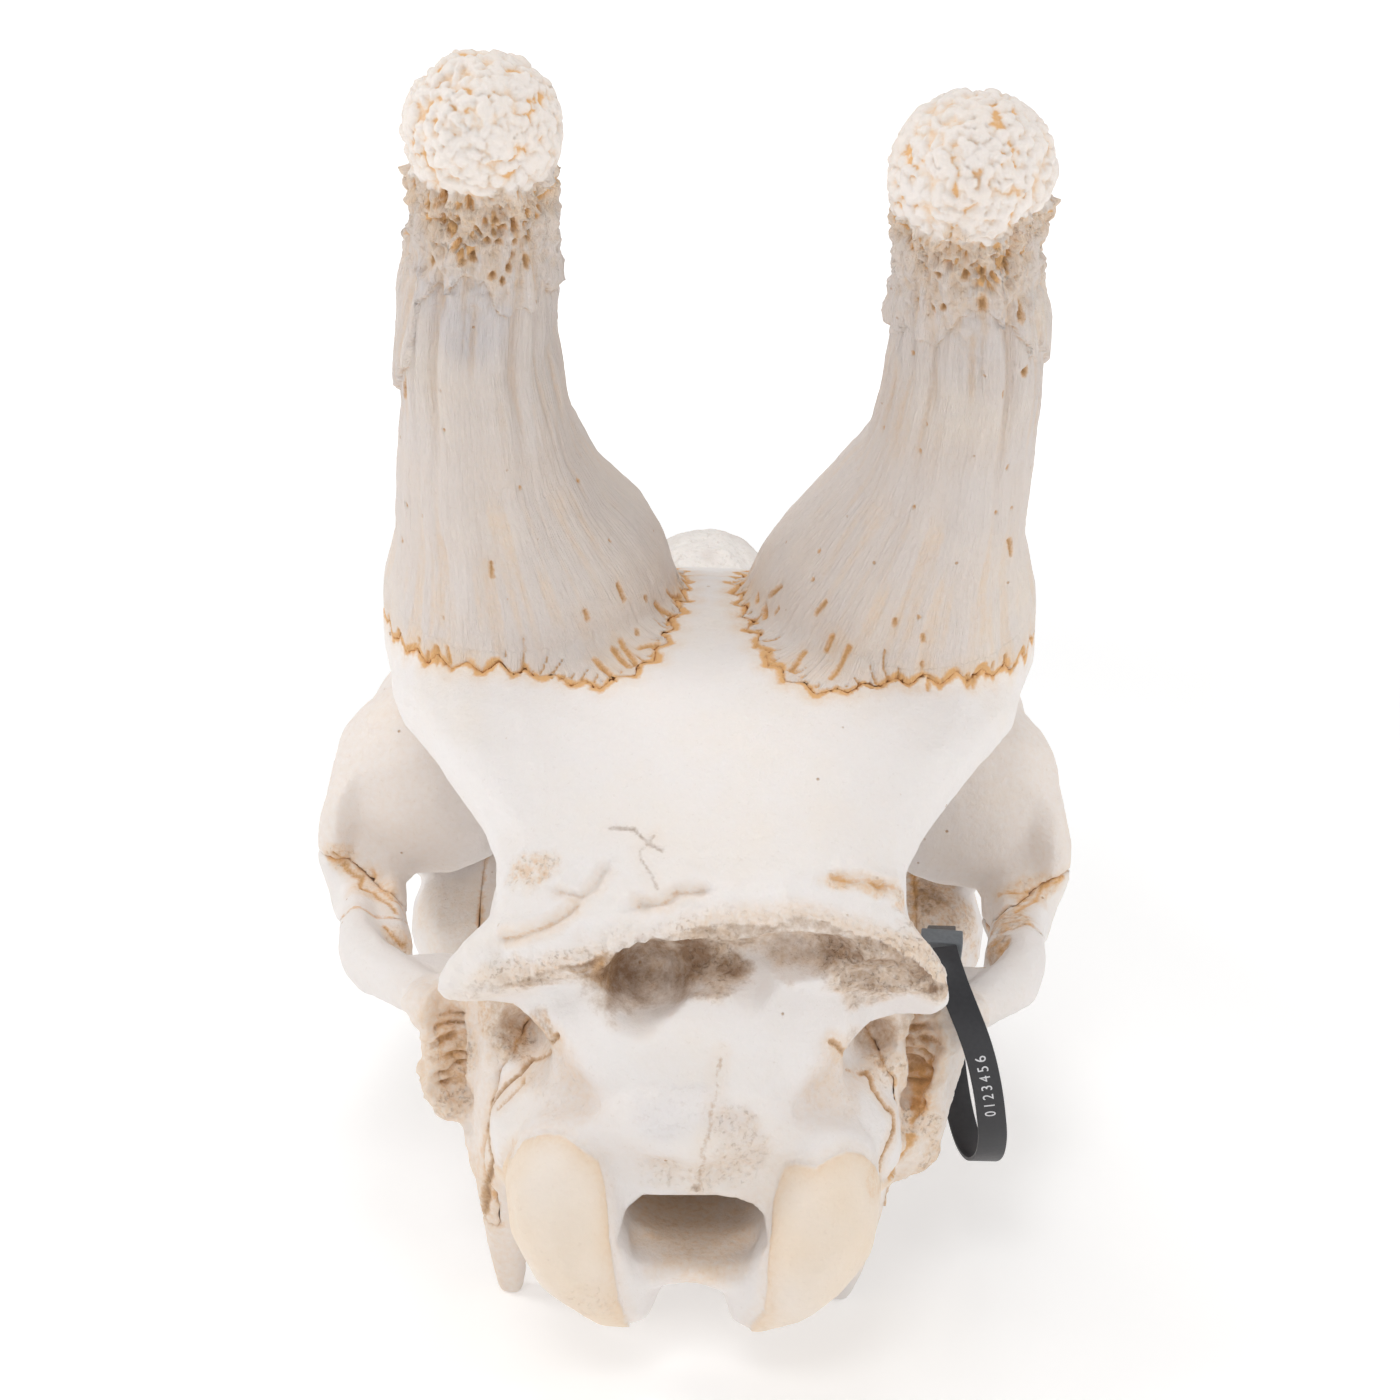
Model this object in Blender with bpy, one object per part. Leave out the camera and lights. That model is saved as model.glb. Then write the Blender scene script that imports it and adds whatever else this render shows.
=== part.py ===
"""Skull of a young adult giraffe bull without its lower jaw, life-size, with a collection tag on one side.

The skull lies on its cheek teeth and on the two processes beside its condyles. The muzzle points to -Y,
the back of the head to +Y, and +X is the animal's left. Sizes and places are written in millimetres from
the middle of the skull's footprint on the floor and are turned into metres where a mesh is made.
"""
import math

import bmesh
import bpy
import numpy as np
from mathutils import Euler, Matrix, Vector

MM = 0.001

# Driving sizes, in millimetres
MUZZLE_TIP_Y = -320.0
ROOF_TOP_Z = 208.0
ROOF_HALF_WIDTH = 101.0
ORBIT_CENTRE = (132.0, 101.0, 122.0)
ORBIT_RADII = (74.0, 32.0, 31.0)
KNOB_RADIUS = {1: 22.4, -1: 23.2}
KNOB_FLATTENING = 2.0
FORAMEN_HALF_WIDTH = 22.0
TOOTH_CROWN = 25.0
PALATE_Z = 31.0
SOCKET_SHIFT = {1: 2.5, -1: -1.5}
PLATE_X = {1: 80.0, -1: 75.0}
PLATE_FOOT_Z = {1: 60.0, -1: 49.0}
PROCESS_X = {1: (59, 57), -1: (52, 46)}
HORN_FOOT = (57.0, 158.0)
HORN_FLOOR_Z = 183.0
TOOTH_ROW_FRONT = -116.0
TOOTH_SIZES = [(19, 19), (22, 23), (23, 25), (26, 28), (29, 30), (30, 29)]
TOOTH_ROW_LENGTH = sum(length for length, width in TOOTH_SIZES)
STRAP_WIDTH = 9.0
STRAP_THICKNESS = 1.2

# How the bones are parted and how fine the solids are
SUTURE_GAP = 0.3
VOXEL = 2.0
SKULL_TRIANGLES = 5250
SUTURE_TOOTH = 3.0
SUTURE_TEETH = 36
WAVE_STEP = 16.0
SHARP_ANGLE = 50.0

# Colours of bone, teeth and tag
BONE = (0.86, 0.81, 0.73)
HORN_BONE = (0.80, 0.76, 0.72)
FACE_BONE = (0.84, 0.78, 0.68)
TAG_BLACK = (0.02, 0.02, 0.025)
TAG_GREY = (0.25, 0.27, 0.28)

LEFT, RIGHT = 1, -1
SIDE_NAME = {LEFT: "left", RIGHT: "right"}


def clear_scene():
    for thing in list(bpy.data.objects):
        bpy.data.objects.remove(thing, do_unlink=True)


def material(name, colour, roughness):
    made = bpy.data.materials.new(name)
    made.use_nodes = True
    shader = made.node_tree.nodes["Principled BSDF"]
    shader.inputs["Base Color"].default_value = (*colour, 1.0)
    shader.inputs["Roughness"].default_value = roughness
    shader.inputs["Metallic"].default_value = 0.0
    made.diffuse_color = (*colour, 1.0)
    return made


# Shapes that the bones are made of
def add_object(name, bm):
    """Turn millimetres into metres and put the mesh in the scene as one object."""
    bmesh.ops.recalc_face_normals(bm, faces=bm.faces)
    bmesh.ops.scale(bm, vec=(MM, MM, MM), verts=bm.verts)
    mesh = bpy.data.meshes.new(name)
    bm.to_mesh(mesh)
    bm.free()
    made = bpy.data.objects.new(name, mesh)
    bpy.context.scene.collection.objects.link(made)
    return made


def smooth_rows(rows, steps):
    """Rows of numbers on a smooth curve through the given rows."""
    rows = np.array(rows, float)
    ends = np.vstack([2 * rows[0] - rows[1], rows, 2 * rows[-1] - rows[-2]])
    out = []
    for i in range(len(rows) - 1):
        a, b, c, d = ends[i:i + 4]
        for t in np.linspace(0.0, 1.0, steps, endpoint=False):
            out.append(0.5 * (2 * b + (c - a) * t + (2 * a - 5 * b + 4 * c - d) * t * t
                              + (3 * b - a - 3 * c + d) * t ** 3))
    out.append(rows[-1])
    return np.array(out)


def loft(name, stations, side=LEFT, up=(0, 0, 1), sides=20, steps=4, squareness=2.0, level=0.0, taper=0.0):
    """A closed body round a smooth path.

    Each station is x, y, z, the half width across and the half height towards up. Both ends are rounded.
    squareness 2 gives oval rings and more gives squarer ones. level is the part of the path over which
    the rings turn from level to square with the path. taper makes the rings that much narrower on top.
    """
    rows = smooth_rows(stations, steps)
    rows[:, 0] *= side
    centres = rows[:, :3]
    tangents = np.gradient(centres, axis=0)
    up = Vector(up)
    rings = []
    for i, (x, y, z, across, high) in enumerate(rows):
        tangent = Vector(tangents[i]).normalized()
        if level:
            share = min(1.0, i / (len(rows) - 1) / level)
            tangent = Vector((0, 0, 1)).lerp(tangent, share).normalized()
        tall = (up - tangent * up.dot(tangent)).normalized()
        wide = tangent.cross(tall)
        rings.append((Vector((x, y, z)), tangent, wide, tall, across, high))
    caps = (0.94, 0.75, 0.42)
    first, last = rings[0], rings[-1]
    reach = 0.55 * min(first[4], first[5])
    start = [(first[0] - first[1] * reach * math.sqrt(1 - k * k), *first[1:4], first[4] * k, first[5] * k)
             for k in reversed(caps)]
    reach = 0.55 * min(last[4], last[5])
    end = [(last[0] + last[1] * reach * math.sqrt(1 - k * k), *last[1:4], last[4] * k, last[5] * k)
           for k in caps]
    bm = bmesh.new()
    loops = []
    for centre, _, wide, tall, across, high in start + rings + end:
        loop = []
        for j in range(sides):
            angle = 2 * math.pi * j / sides
            c, s = math.cos(angle), math.sin(angle)
            u = math.copysign(abs(c) ** (2 / squareness), c) * across * (1 - taper * s)
            v = math.copysign(abs(s) ** (2 / squareness), s) * high
            loop.append(bm.verts.new(centre + wide * u + tall * v))
        loops.append(loop)
    for low, high in zip(loops, loops[1:]):
        for j in range(sides):
            k = (j + 1) % sides
            bm.faces.new((low[j], low[k], high[k], high[j]))
    bm.faces.new(loops[0])
    bm.faces.new(loops[-1])
    return add_object(name, bm)


def blob(name, centre, radii, side=LEFT, turn=(0, 0, 0)):
    """An ellipsoid, turned about x, y and z by degrees."""
    bm = bmesh.new()
    bmesh.ops.create_uvsphere(bm, u_segments=24, v_segments=16, radius=1.0)
    spin = Euler([math.radians(a) for a in turn]).to_matrix().to_4x4()
    place = Matrix.Translation(Vector(centre)) @ spin @ Matrix.Diagonal((*radii, 1.0))
    bmesh.ops.transform(bm, matrix=Matrix.Diagonal((side, 1, 1, 1)) @ place, verts=bm.verts)
    return add_object(name, bm)


def block(name, low, high):
    bm = bmesh.new()
    bmesh.ops.create_cube(bm, size=1.0)
    low, high = Vector(low), Vector(high)
    size = high - low
    bmesh.ops.scale(bm, vec=size, verts=bm.verts)
    bmesh.ops.translate(bm, vec=(low + high) / 2, verts=bm.verts)
    return add_object(name, bm)


# Joining, cutting and cleaning
def apply_modifiers(thing):
    view = bpy.context.evaluated_depsgraph_get()
    mesh = bpy.data.meshes.new_from_object(thing.evaluated_get(view))
    thing.modifiers.clear()
    thing.data = mesh
    return thing


def boolean(thing, others, operation, solver="MANIFOLD"):
    group = bpy.data.collections.new("joined")
    bpy.context.scene.collection.children.link(group)
    for other in others:
        bpy.context.scene.collection.objects.unlink(other)
        group.objects.link(other)
    cut = thing.modifiers.new(operation, "BOOLEAN")
    cut.operation = operation
    cut.operand_type = "COLLECTION"
    cut.collection = group
    cut.solver = solver
    apply_modifiers(thing)
    for other in others:
        bpy.data.objects.remove(other, do_unlink=True)
    bpy.data.collections.remove(group)
    return thing


def copy_of(thing, name):
    made = thing.copy()
    made.data = thing.data.copy()
    made.name = name
    bpy.context.scene.collection.objects.link(made)
    return made


def keep_largest(thing):
    """Keep only the largest closed surface of a mesh."""
    bm = bmesh.new()
    bm.from_mesh(thing.data)
    bm.faces.ensure_lookup_table()
    seen, groups = set(), []
    for face in bm.faces:
        if face.index in seen:
            continue
        seen.add(face.index)
        stack, group = [face], []
        while stack:
            here = stack.pop()
            group.append(here)
            for edge in here.edges:
                for near in edge.link_faces:
                    if near.index not in seen:
                        seen.add(near.index)
                        stack.append(near)
        groups.append(group)
    groups.sort(key=lambda g: sum(f.calc_area() for f in g), reverse=True)
    loose = [face for group in groups[1:] for face in group]
    bmesh.ops.delete(bm, geom=loose, context="FACES")
    bmesh.ops.triangulate(bm, faces=bm.faces)
    bm.to_mesh(thing.data)
    bm.free()
    return thing


def remesh(thing, voxel, smoothing):
    voxels = thing.modifiers.new("Voxels", "REMESH")
    voxels.mode = "VOXEL"
    voxels.voxel_size = voxel * MM
    soften = thing.modifiers.new("Soften", "SMOOTH")
    soften.factor = 0.5
    soften.iterations = smoothing
    return keep_largest(apply_modifiers(thing))


# The bone masses, left side first and mirrored where the side asks for it
def roof_and_braincase():
    braincase = loft("braincase", [
        (0, 40, 118, 46, 46), (0, 100, 116, 50, 56), (0, 150, 116, 57, 62), (0, 190, 112, 63, 64),
        (0, 230, 104, 64, 56), (0, 262, 96, 57, 42), (0, 276, 90, 48, 34)], squareness=2.2)
    roof = loft("roof", [
        (0, 0, 152, 38, 22), (0, 40, 156, 56, 22), (0, 80, 168, 84, 22), (0, 115, 176, 98, 26),
        (0, 150, 180, ROOF_HALF_WIDTH + 2, ROOF_TOP_Z - 180), (0, 190, 179, ROOF_HALF_WIDTH - 1, 26),
        (0, 222, 168, 81, 26), (0, 248, 150, 63, 26), (0, 272, 130, 62, 22)], squareness=2.4, sides=32)
    return [braincase, roof]


def brow_and_orbit(side):
    """Roof, rim and inflated rear wall of the eye socket."""
    out = SOCKET_SHIFT[side]
    rim = loft("rim", [
        (82, 52, 140, 10, 9), (97, 74, 147, 10, 8), (105 + out, 104, 148, 10, 8),
        (114 + out, 128, 138, 9, 9), (122 + out, 139, 121, 7, 11), (124 + out, 140, 104, 7, 9),
        (121 + out, 136, 90, 7, 8)], side, up=(0, 1, 0.2))
    cover = blob("cover", (80, 104, 148), (34, 48, 30), side)
    wall = blob("wall", (92 + out, 128, 128), (37, 24, 35), side, turn=(0, 16, -6))
    corner = blob("corner", (62, 50, 134), (24, 30, 28), side)
    front = loft("front", [
        (46, -12, 122, 20, 28), (60, 18, 119, 20, 33), (78, 44, 116, 14, 32), (93, 66, 114, 8, 27)], side)
    return [rim, cover, wall, corner, front]


def cheek_and_arch(side):
    """Cheek bone below the eye socket and the arch back to the ear."""
    out = SOCKET_SHIFT[side]
    cheek = loft("cheek", [
        (54, -40, 60, 10, 14), (74, 12, 66, 14, 19), (91, 46, 76, 12, 19), (106, 76, 84, 9, 14),
        (112 + out, 104, 85, 10, 12), (118 + out, 134, 87, 9, 12), (116 + out, 158, 90, 6, 9)], side)
    prong = blob("prong", (112 + out, 142, 90), (13, 8, 19), side)
    flange = loft("flange", [(107, 144, 88, 6, 13), (105, 162, 85, 6, 13), (100, 184, 86, 6, 10)], side)
    arch = loft("arch", [
        (116 + out, 150, 90, 5, 7), (113 + out, 172, 92, 6, 8), (107 + out, 197, 90, 8, 11),
        (98, 212, 91, 8, 9), (86, 224, 90, 8, 8), (70, 236, 88, 9, 8)], side)
    bulla = blob("bulla", (82, 74, 50), (27, 36, 26), side)
    floor = loft("floor", [(66, 22, 46, 14, 20), (74, 50, 42, 16, 17), (78, 80, 42, 12, 12)], side)
    return [cheek, prong, flange, arch, bulla, floor]


def temporal_mass(side):
    squama = loft("squama", [(56, 170, 104, 8, 26), (60, 205, 98, 9, 30), (60, 240, 86, 12, 26)], side)
    joint = blob("joint", (84, 204, 86), (24, 18, 7), side, turn=(0, -6, 12))
    plate = loft("ear plate", [
        (86, 236, 98, 8, 11), (PLATE_X[side], 239, 86, 6, 13), (PLATE_X[side], 241, 70, 5, 13),
        (PLATE_X[side] - 3, 243, PLATE_FOOT_Z[side], 5, 10)], side, up=(0, 1, 0))
    inner = loft("ear mass", [
        (60, 242, 100, 8, 15), (61, 245, 86, 8, 16), (63, 246, 70, 7, 15), (66, 248, 56, 6, 11),
        (67, 250, 47, 5, 8)], side, up=(0, 1, 0))
    core = blob("ear core", (72, 232, 80), (13, 15, 26), side)
    drum = blob("drum", (34, 226, 40), (14, 20, 16), side)
    return [squama, joint, plate, inner, core, drum]


def occipital(side):
    """Half of the back of the skull: condyle and the process beside it."""
    condyle = loft("condyle", [
        (38, 286, 74, 16, 17), (38, 297, 60, 17, 19), (33, 301, 46, 15, 16), (24, 299, 33, 11, 12),
        (16, 296, 27, 9, 9)], side, up=(0, 1, 0))
    wing = blob("wing", (46, 262, 66), (18, 24, 22), side)
    top_x, tip_x = PROCESS_X[side]
    process = loft("process", [
        (top_x, 258, 58, 9, 12), (top_x, 255, 36, 8.5, 8), ((top_x + tip_x) / 2, 251, 14, 7, 6),
        (tip_x, 248, -3, 5, 5)], side, up=(0, 1, 0))
    return [condyle, wing, process]


def occipital_middle():
    column = loft("column", [
        (0, 256, 140, 52, 16), (0, 262, 118, 42, 20), (0, 266, 98, 46, 26), (0, 266, 80, 57, 36),
        (0, 264, 62, 58, 36), (0, 262, 48, 46, 26)], up=(0, 1, 0))
    lintel = blob("lintel", (0, 294, 85), (34, 15, 14))
    base = loft("base", [
        (0, 304, 40, 19, 4), (0, 284, 39, 20, 8), (0, 262, 41, 21, 11), (0, 220, 51, 19, 13),
        (0, 170, 66, 18, 16), (0, 120, 76, 18, 18), (0, 70, 78, 18, 18)])
    return [column, lintel, base]


# The crest across the back of the head: x, the lip's y and z, the top's z, the lower edge's y and z
CREST = [(80, 276, 117, 120, 271, 113), (74, 280, 119, 128, 270, 110), (64, 282, 121, 138, 269, 109.5),
         (52, 284, 124.5, 146, 269, 111), (38, 285, 130, 149, 271, 118), (26, 287, 137, 149, 275, 130),
         (12, 288, 143.5, 149, 277, 138), (0, 288, 144, 147, 277, 139), (-12, 288, 145, 149, 277, 139),
         (-22, 289, 148.5, 152, 276, 138), (-31, 289, 149.5, 153, 274, 129), (-43, 288, 142.5, 150, 271, 114),
         (-54, 286, 135, 147, 268, 108.5), (-65, 283, 126, 139, 268, 107.5), (-72, 280, 119.5, 128, 270, 109),
         (-75.5, 276, 117, 120, 271, 113)]


def nuchal_crest():
    """A drooping shelf with a sharp lip that stands over the neck muscles' hollows."""
    rings = []
    for x, lip_y, lip_z, top, low_y, low in CREST:
        front = 252 + 0.17 * abs(x)
        middle = (front + lip_y) / 2
        rings.append([(x, front, top - 4), (x, middle, top), (x, lip_y - 5, (top + 2 * lip_z) / 3 + 1.5),
                      (x, lip_y, lip_z), (x, lip_y - 1.5, lip_z - 3), (x, low_y, low),
                      (x, (front + low_y) / 2, low + 1), (x, front, low + 3)])
    return [ring_solid(rings)]


def face():
    lower = loft("lower face", [
        (0, -214, 48, 22, 22), (0, -178, 62, 26, 38), (0, -150, 67, 31, 43), (0, -110, 78, 40, 53),
        (0, -55, 88, 52, 62), (0, 0, 96, 64, 70), (0, 40, 104, 72, 72), (0, 72, 112, 66, 66)],
        squareness=2.6, sides=32, taper=0.22)
    bridge = loft("bridge", [
        (0, -176, 106, 17, 6), (0, -150, 110, 20, 10), (0, -110, 122, 25, 20), (0, -50, 138, 33, 24),
        (0, 10, 150, 44, 25), (0, 60, 160, 58, 26)], squareness=2.3)
    return [lower, bridge]


def upper_jaw(side):
    ridge = loft("tooth ridge", [
        (33, -142, 40, 6, 8), (36, -122, 38, 12, 14), (44, -70, 38, 15, 15), (49, -10, 39, 17, 16),
        (49, 38, 43, 16, 18)], side)
    wall = loft("muzzle wall", [
        (22, -288, 31, 5, 6), (25, -252, 38, 5, 11), (27, -215, 50, 6, 22), (27, -180, 63, 7, 34),
        (28, -145, 74, 9, 42)], side)
    bar = loft("incisor bar", [
        (12, MUZZLE_TIP_Y + 5, 27, 10, 4), (20, -298, 27, 9, 5), (25, -262, 29, 7, 6), (26, -215, 34, 7, 9),
        (25, -165, 34, 8, 9)], side)
    shelf = loft("palate shelf", [(10, -255, 28, 9, 3), (12, -205, 30, 13, 4), (14, -150, 32, 16, 5)], side)
    pterygoid = loft("pterygoid", [
        (23, 66, 32, 4, 16), (24, 100, 36, 4, 22), (25, 135, 46, 4, 22), (22, 168, 58, 5, 16)], side)
    return [ridge, wall, bar, shelf, pterygoid]


# The two large horn cores and the low one on the nose
OSSICONES = {
    LEFT: [(57, 152, 188, 50, 58), (57.5, 160, 210, 48.5, 50), (59.6, 170, 227, 43.8, 43),
           (64.8, 181, 243, 34.8, 35), (68.2, 193, 261, 29, 29), (68.9, 204, 279, 25.2, 25),
           (70, 218, 303, 22.6, 22.5), (67.2, 233, 329, 20.9, 20.9), (66.1, 240.5, 341, 19.9, 19.9),
           (65, 248, 353, 20.2, 20.2)],
    RIGHT: [(59, 152, 188, 50, 58), (59.5, 161, 208, 48, 50), (62.2, 171, 224, 42.8, 43),
            (66.4, 183, 241, 34, 35), (71, 195, 259, 27.5, 28), (73, 207, 278, 24, 24),
            (73.4, 223, 302, 21.8, 22), (70.6, 240, 328, 20.2, 20.4), (68.4, 253, 348, 20.9, 20.9)]}
KNOB_CENTRE = {LEFT: (64.4, 256, 365), RIGHT: (67.2, 261, 358)}

# The toothed seam round the foot of the left horn core, from the middle backwards and round
HORN_SEAM = [(8, 173, 208), (17, 209, 200), (32, 221, 195), (51, 214, 196), (80, 203, 195), (98, 186, 197),
             (107, 160, 204), (104, 128, 196), (88, 106, 190), (62, 97, 190), (32, 102, 195), (13, 122, 202),
             (7, 148, 208)]


def ossicone(side):
    horn = loft("horn", OSSICONES[side], side, up=(0, -1, 0), sides=28, level=0.5)
    radius = KNOB_RADIUS[side]
    knob = blob("knob", KNOB_CENTRE[side], (radius, radius, radius - KNOB_FLATTENING), side, turn=(-28, 0, 0))
    return [horn, knob]


def median_ossicone():
    return [blob("nose horn", (0, 32, 170), (27, 38, 22))]


# What is hollow or open
# Pits for the neck muscles under the crest, each with its centre and its radii
NECK_PITS = {LEFT: ((18, 290, 122), (10, 19, 9.5)), RIGHT: ((15.5, 290, 127), (8, 15, 6.5))}


def hollows():
    cuts = []
    for side in (LEFT, RIGHT):
        x, y, z = ORBIT_CENTRE
        cuts.append(blob("socket", (x + SOCKET_SHIFT[side], y, z), ORBIT_RADII, side, turn=(0, 0, -12)))
        centre, radii = NECK_PITS[side]
        cuts.append(blob("neck pit", centre, radii, side, turn=(-14, 0, 0)))
        cuts.append(blob("side pit", (53, 284, 97), (11, 36, 12), side))
        cuts.append(loft("ear trough", [
            (PLATE_X[side] - 8.5, 264, 100, 4.5, 20), (PLATE_X[side] - 8.5, 264, 66, 4, 18)], side, up=(0, 1, 0)))
    cuts.append(loft("scoop", [
        (-42, 288, 127, 6, 7), (-29, 290, 138, 9, 7.5), (-12, 290, 134, 9, 8), (0, 290, 133, 8, 7.5),
        (14, 290, 131.5, 9, 8), (27, 288, 125, 6, 7)]))
    cuts.append(loft("foramen", [
        (0, 345, 53, FORAMEN_HALF_WIDTH, 13), (0, 300, 54.5, FORAMEN_HALF_WIDTH, 10.5),
        (0, 262, 58, 20, 13), (0, 236, 62, 17, 12)], squareness=2.3))
    cuts.append(loft("notch", [(0, 330, 30, 9, 11), (0, 304, 30, 8, 10.5)], squareness=2.2))
    cuts.append(loft("nose", [
        (0, -300, 66, 12, 30), (0, -235, 78, 19, 44), (0, -196, 78, 20, 40), (0, -176, 70, 20, 28),
        (0, -130, 76, 22, 30), (0, -70, 82, 20, 28)], squareness=2.4))
    cuts.append(loft("palate", [
        (0, -210, 12, 14, 14), (0, -130, 12, 24, 18), (0, -40, 12, 30, PALATE_Z - 12),
        (0, 90, 12, 30, PALATE_Z - 12)], squareness=2.6))
    cuts.append(loft("choanae", [(0, 190, 36, 16, 18), (0, 120, 42, 17, 20), (0, 60, 46, 15, 16),
                                 (0, 34, 47, 12, 11)]))
    return cuts


def whole_skull():
    masses = roof_and_braincase() + occipital_middle() + nuchal_crest() + face() + median_ossicone()
    for side in (LEFT, RIGHT):
        masses += brow_and_orbit(side) + cheek_and_arch(side) + temporal_mass(side)
        masses += occipital(side) + upper_jaw(side) + ossicone(side)
    skull = masses[0]
    skull.name = "cranium"
    boolean(skull, masses[1:], "UNION")
    remesh(skull, VOXEL, 10)
    boolean(skull, hollows(), "DIFFERENCE")
    remesh(skull, VOXEL, 4)
    thin = skull.modifiers.new("Fewer faces", "DECIMATE")
    thin.ratio = SKULL_TRIANGLES / len(skull.data.polygons)
    apply_modifiers(skull)
    under = block("under the floor", (-200, -400, -60), (200, 400, 0))
    return keep_largest(boolean(skull, [under], "DIFFERENCE"))


# Where one bone ends and the next begins
def ring_solid(rings):
    """A closed body through rings of points that all have the same count."""
    bm = bmesh.new()
    loops = [[bm.verts.new(point) for point in ring] for ring in rings]
    count = len(loops[0])
    for low, high in zip(loops, loops[1:]):
        for j in range(count):
            k = (j + 1) % count
            bm.faces.new((low[j], low[k], high[k], high[j]))
    bm.faces.new(loops[0])
    bm.faces.new(loops[-1])
    bm.normal_update()
    bmesh.ops.triangulate(bm, faces=bm.faces, quad_method="FIXED")
    return add_object("part", bm)


def wavy(outline, wave):
    """The outline with its long edges bent into small waves, as the seams of a skull run."""
    points = []
    for start, end in zip(outline, outline[1:] + outline[:1]):
        start, end = Vector(start), Vector(end)
        along = end - start
        across = Vector((-along.y, along.x)).normalized()
        steps = max(1, int(along.length / WAVE_STEP))
        for i in range(steps):
            bend = wave * math.sin(2.4 * i) if i else 0.0
            points.append(start + along * i / steps + across * bend)
    return points


def grown_outline(outline, grow, wave=0.0):
    corners = wavy(outline, wave) if wave else [Vector(point) for point in outline]
    area = sum(a.x * b.y - b.x * a.y for a, b in zip(corners, corners[1:] + corners[:1]))
    turn = 1 if area > 0 else -1
    grown = []
    for before, here, after in zip(corners[-1:] + corners[:-1], corners, corners[1:] + corners[:1]):
        one = (here - before).normalized()
        two = (after - here).normalized()
        out_one = Vector((one.y, -one.x)) * turn
        out_two = Vector((two.y, -two.x)) * turn
        middle = (out_one + out_two).normalized()
        grown.append(here + middle * grow / max(0.35, middle.dot(out_one)))
    return grown


def prism(outline, axis, low, high, grow, wave=0.0):
    """A block along x or y over an outline that is grown outwards; the outline is in y, z or x, z."""
    grown = grown_outline(outline, grow, wave)
    if axis == "x":
        return ring_solid([[(depth, p.x, p.y) for p in grown] for depth in (low - grow, high + grow)])
    return ring_solid([[(p.x, depth, p.y) for p in grown] for depth in (low - grow, high + grow)])


def side_prism(outline, low, high, side, grow, wave=1.5):
    low, high = sorted((low * side, high * side))
    return prism(outline, "x", low, high, grow, wave)


def toothed_ring(ring, centre, teeth, tooth, grow, seed):
    """Points on a smooth closed curve, moved in and out by turns as the teeth of a seam."""
    random = np.random.default_rng(seed)
    rows = smooth_rows(ring + ring[:1], 12)[:-1]
    steps = np.linalg.norm(np.diff(np.vstack([rows, rows[:1]]), axis=0), axis=1)
    along = np.concatenate([[0.0], np.cumsum(steps)])
    closed = np.vstack([rows, rows[:1]])
    points = []
    for i in range(2 * teeth):
        at = along[-1] * (i + 0.5 + random.uniform(-0.22, 0.22)) / (2 * teeth)
        place = np.array([np.interp(at, along, closed[:, k]) for k in range(3)])
        out = place[:2] - np.array(centre)
        out /= np.linalg.norm(out)
        reach = tooth * (1 if i % 2 else -1) * random.uniform(0.55, 1.0) + grow
        points.append((*(place[:2] + out * reach), place[2], *out))
    return points


def horn_region(side, grow):
    """All of a large horn core above its toothed seam, a bowl that opens upwards."""
    shift = 0.0 if side == LEFT else 2.5
    points = toothed_ring(HORN_SEAM, HORN_FOOT, SUTURE_TEETH, SUTURE_TOOTH, grow * 1.4, 11 + side)
    rings = []
    for rise, reach, back in ((-30, -17, 0), (0, 0, 0), (26, 22, 0), (210, 12, 105)):
        ring = []
        for x, y, z, out_x, out_y in points:
            z = HORN_FLOOR_Z - grow if rise < 0 else z + rise
            x = max(1.0 - grow, x + shift + out_x * reach)
            ring.append((side * x, y + out_y * reach + back, z))
        rings.append(ring)
    return [ring_solid(rings)]


def nose_horn_region(side, grow):
    ring = [(24, 32, 0), (17, 56, 0), (0, 66, 0), (-17, 56, 0), (-24, 32, 0), (-17, 8, 0), (0, -1, 0), (17, 8, 0)]
    points = toothed_ring(ring, (0, 32), 16, 1.5, grow, 5)
    return [ring_solid([[(x, y, z) for x, y, _, _, _ in points] for z in (166 - grow, 230)])]


def nasal_region(side, grow):
    outline = [(-200, 97), (-150, 103), (-110, 126), (-50, 148), (8, 160), (3, 200), (-200, 200)]
    return [side_prism(outline, 0, 28, side, grow, 0.8)]


def premaxilla_region(side, grow):
    outline = [(-340, -20), (-238, -20), (-212, 24), (-190, 70), (-174, 96), (-174, 130), (-340, 130)]
    return [side_prism(outline, 0, 60, side, grow, 0.8)]


def maxilla_region(side, grow):
    outline = [(-260, -20), (64, -20), (66, 30), (60, 46), (36, 52), (4, 66), (14, 82), (26, 98), (20, 124),
               (14, 150), (2, 220), (-260, 220)]
    return [side_prism(outline, 0, 130, side, grow)]


def lacrimal_region(side, grow):
    face_plate = [(26, 98), (90, 98), (90, 120), (80, 138), (62, 148), (14, 150), (20, 124)]
    bulla = [(36, 20), (116, 20), (116, 101), (30, 101), (25, 97), (14, 82), (4, 66)]
    return [side_prism(face_plate, 44, 150, side, grow, 1.0), side_prism(bulla, 46, 80, side, grow, 0.0)]


# How high the cheek bone reaches behind the eye socket, from inside outwards: x and z
BROW_SEAM = [(72, 82), (102, 84), (108, 92), (115, 99), (122, 104), (132, 105.5), (150, 106)]


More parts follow.
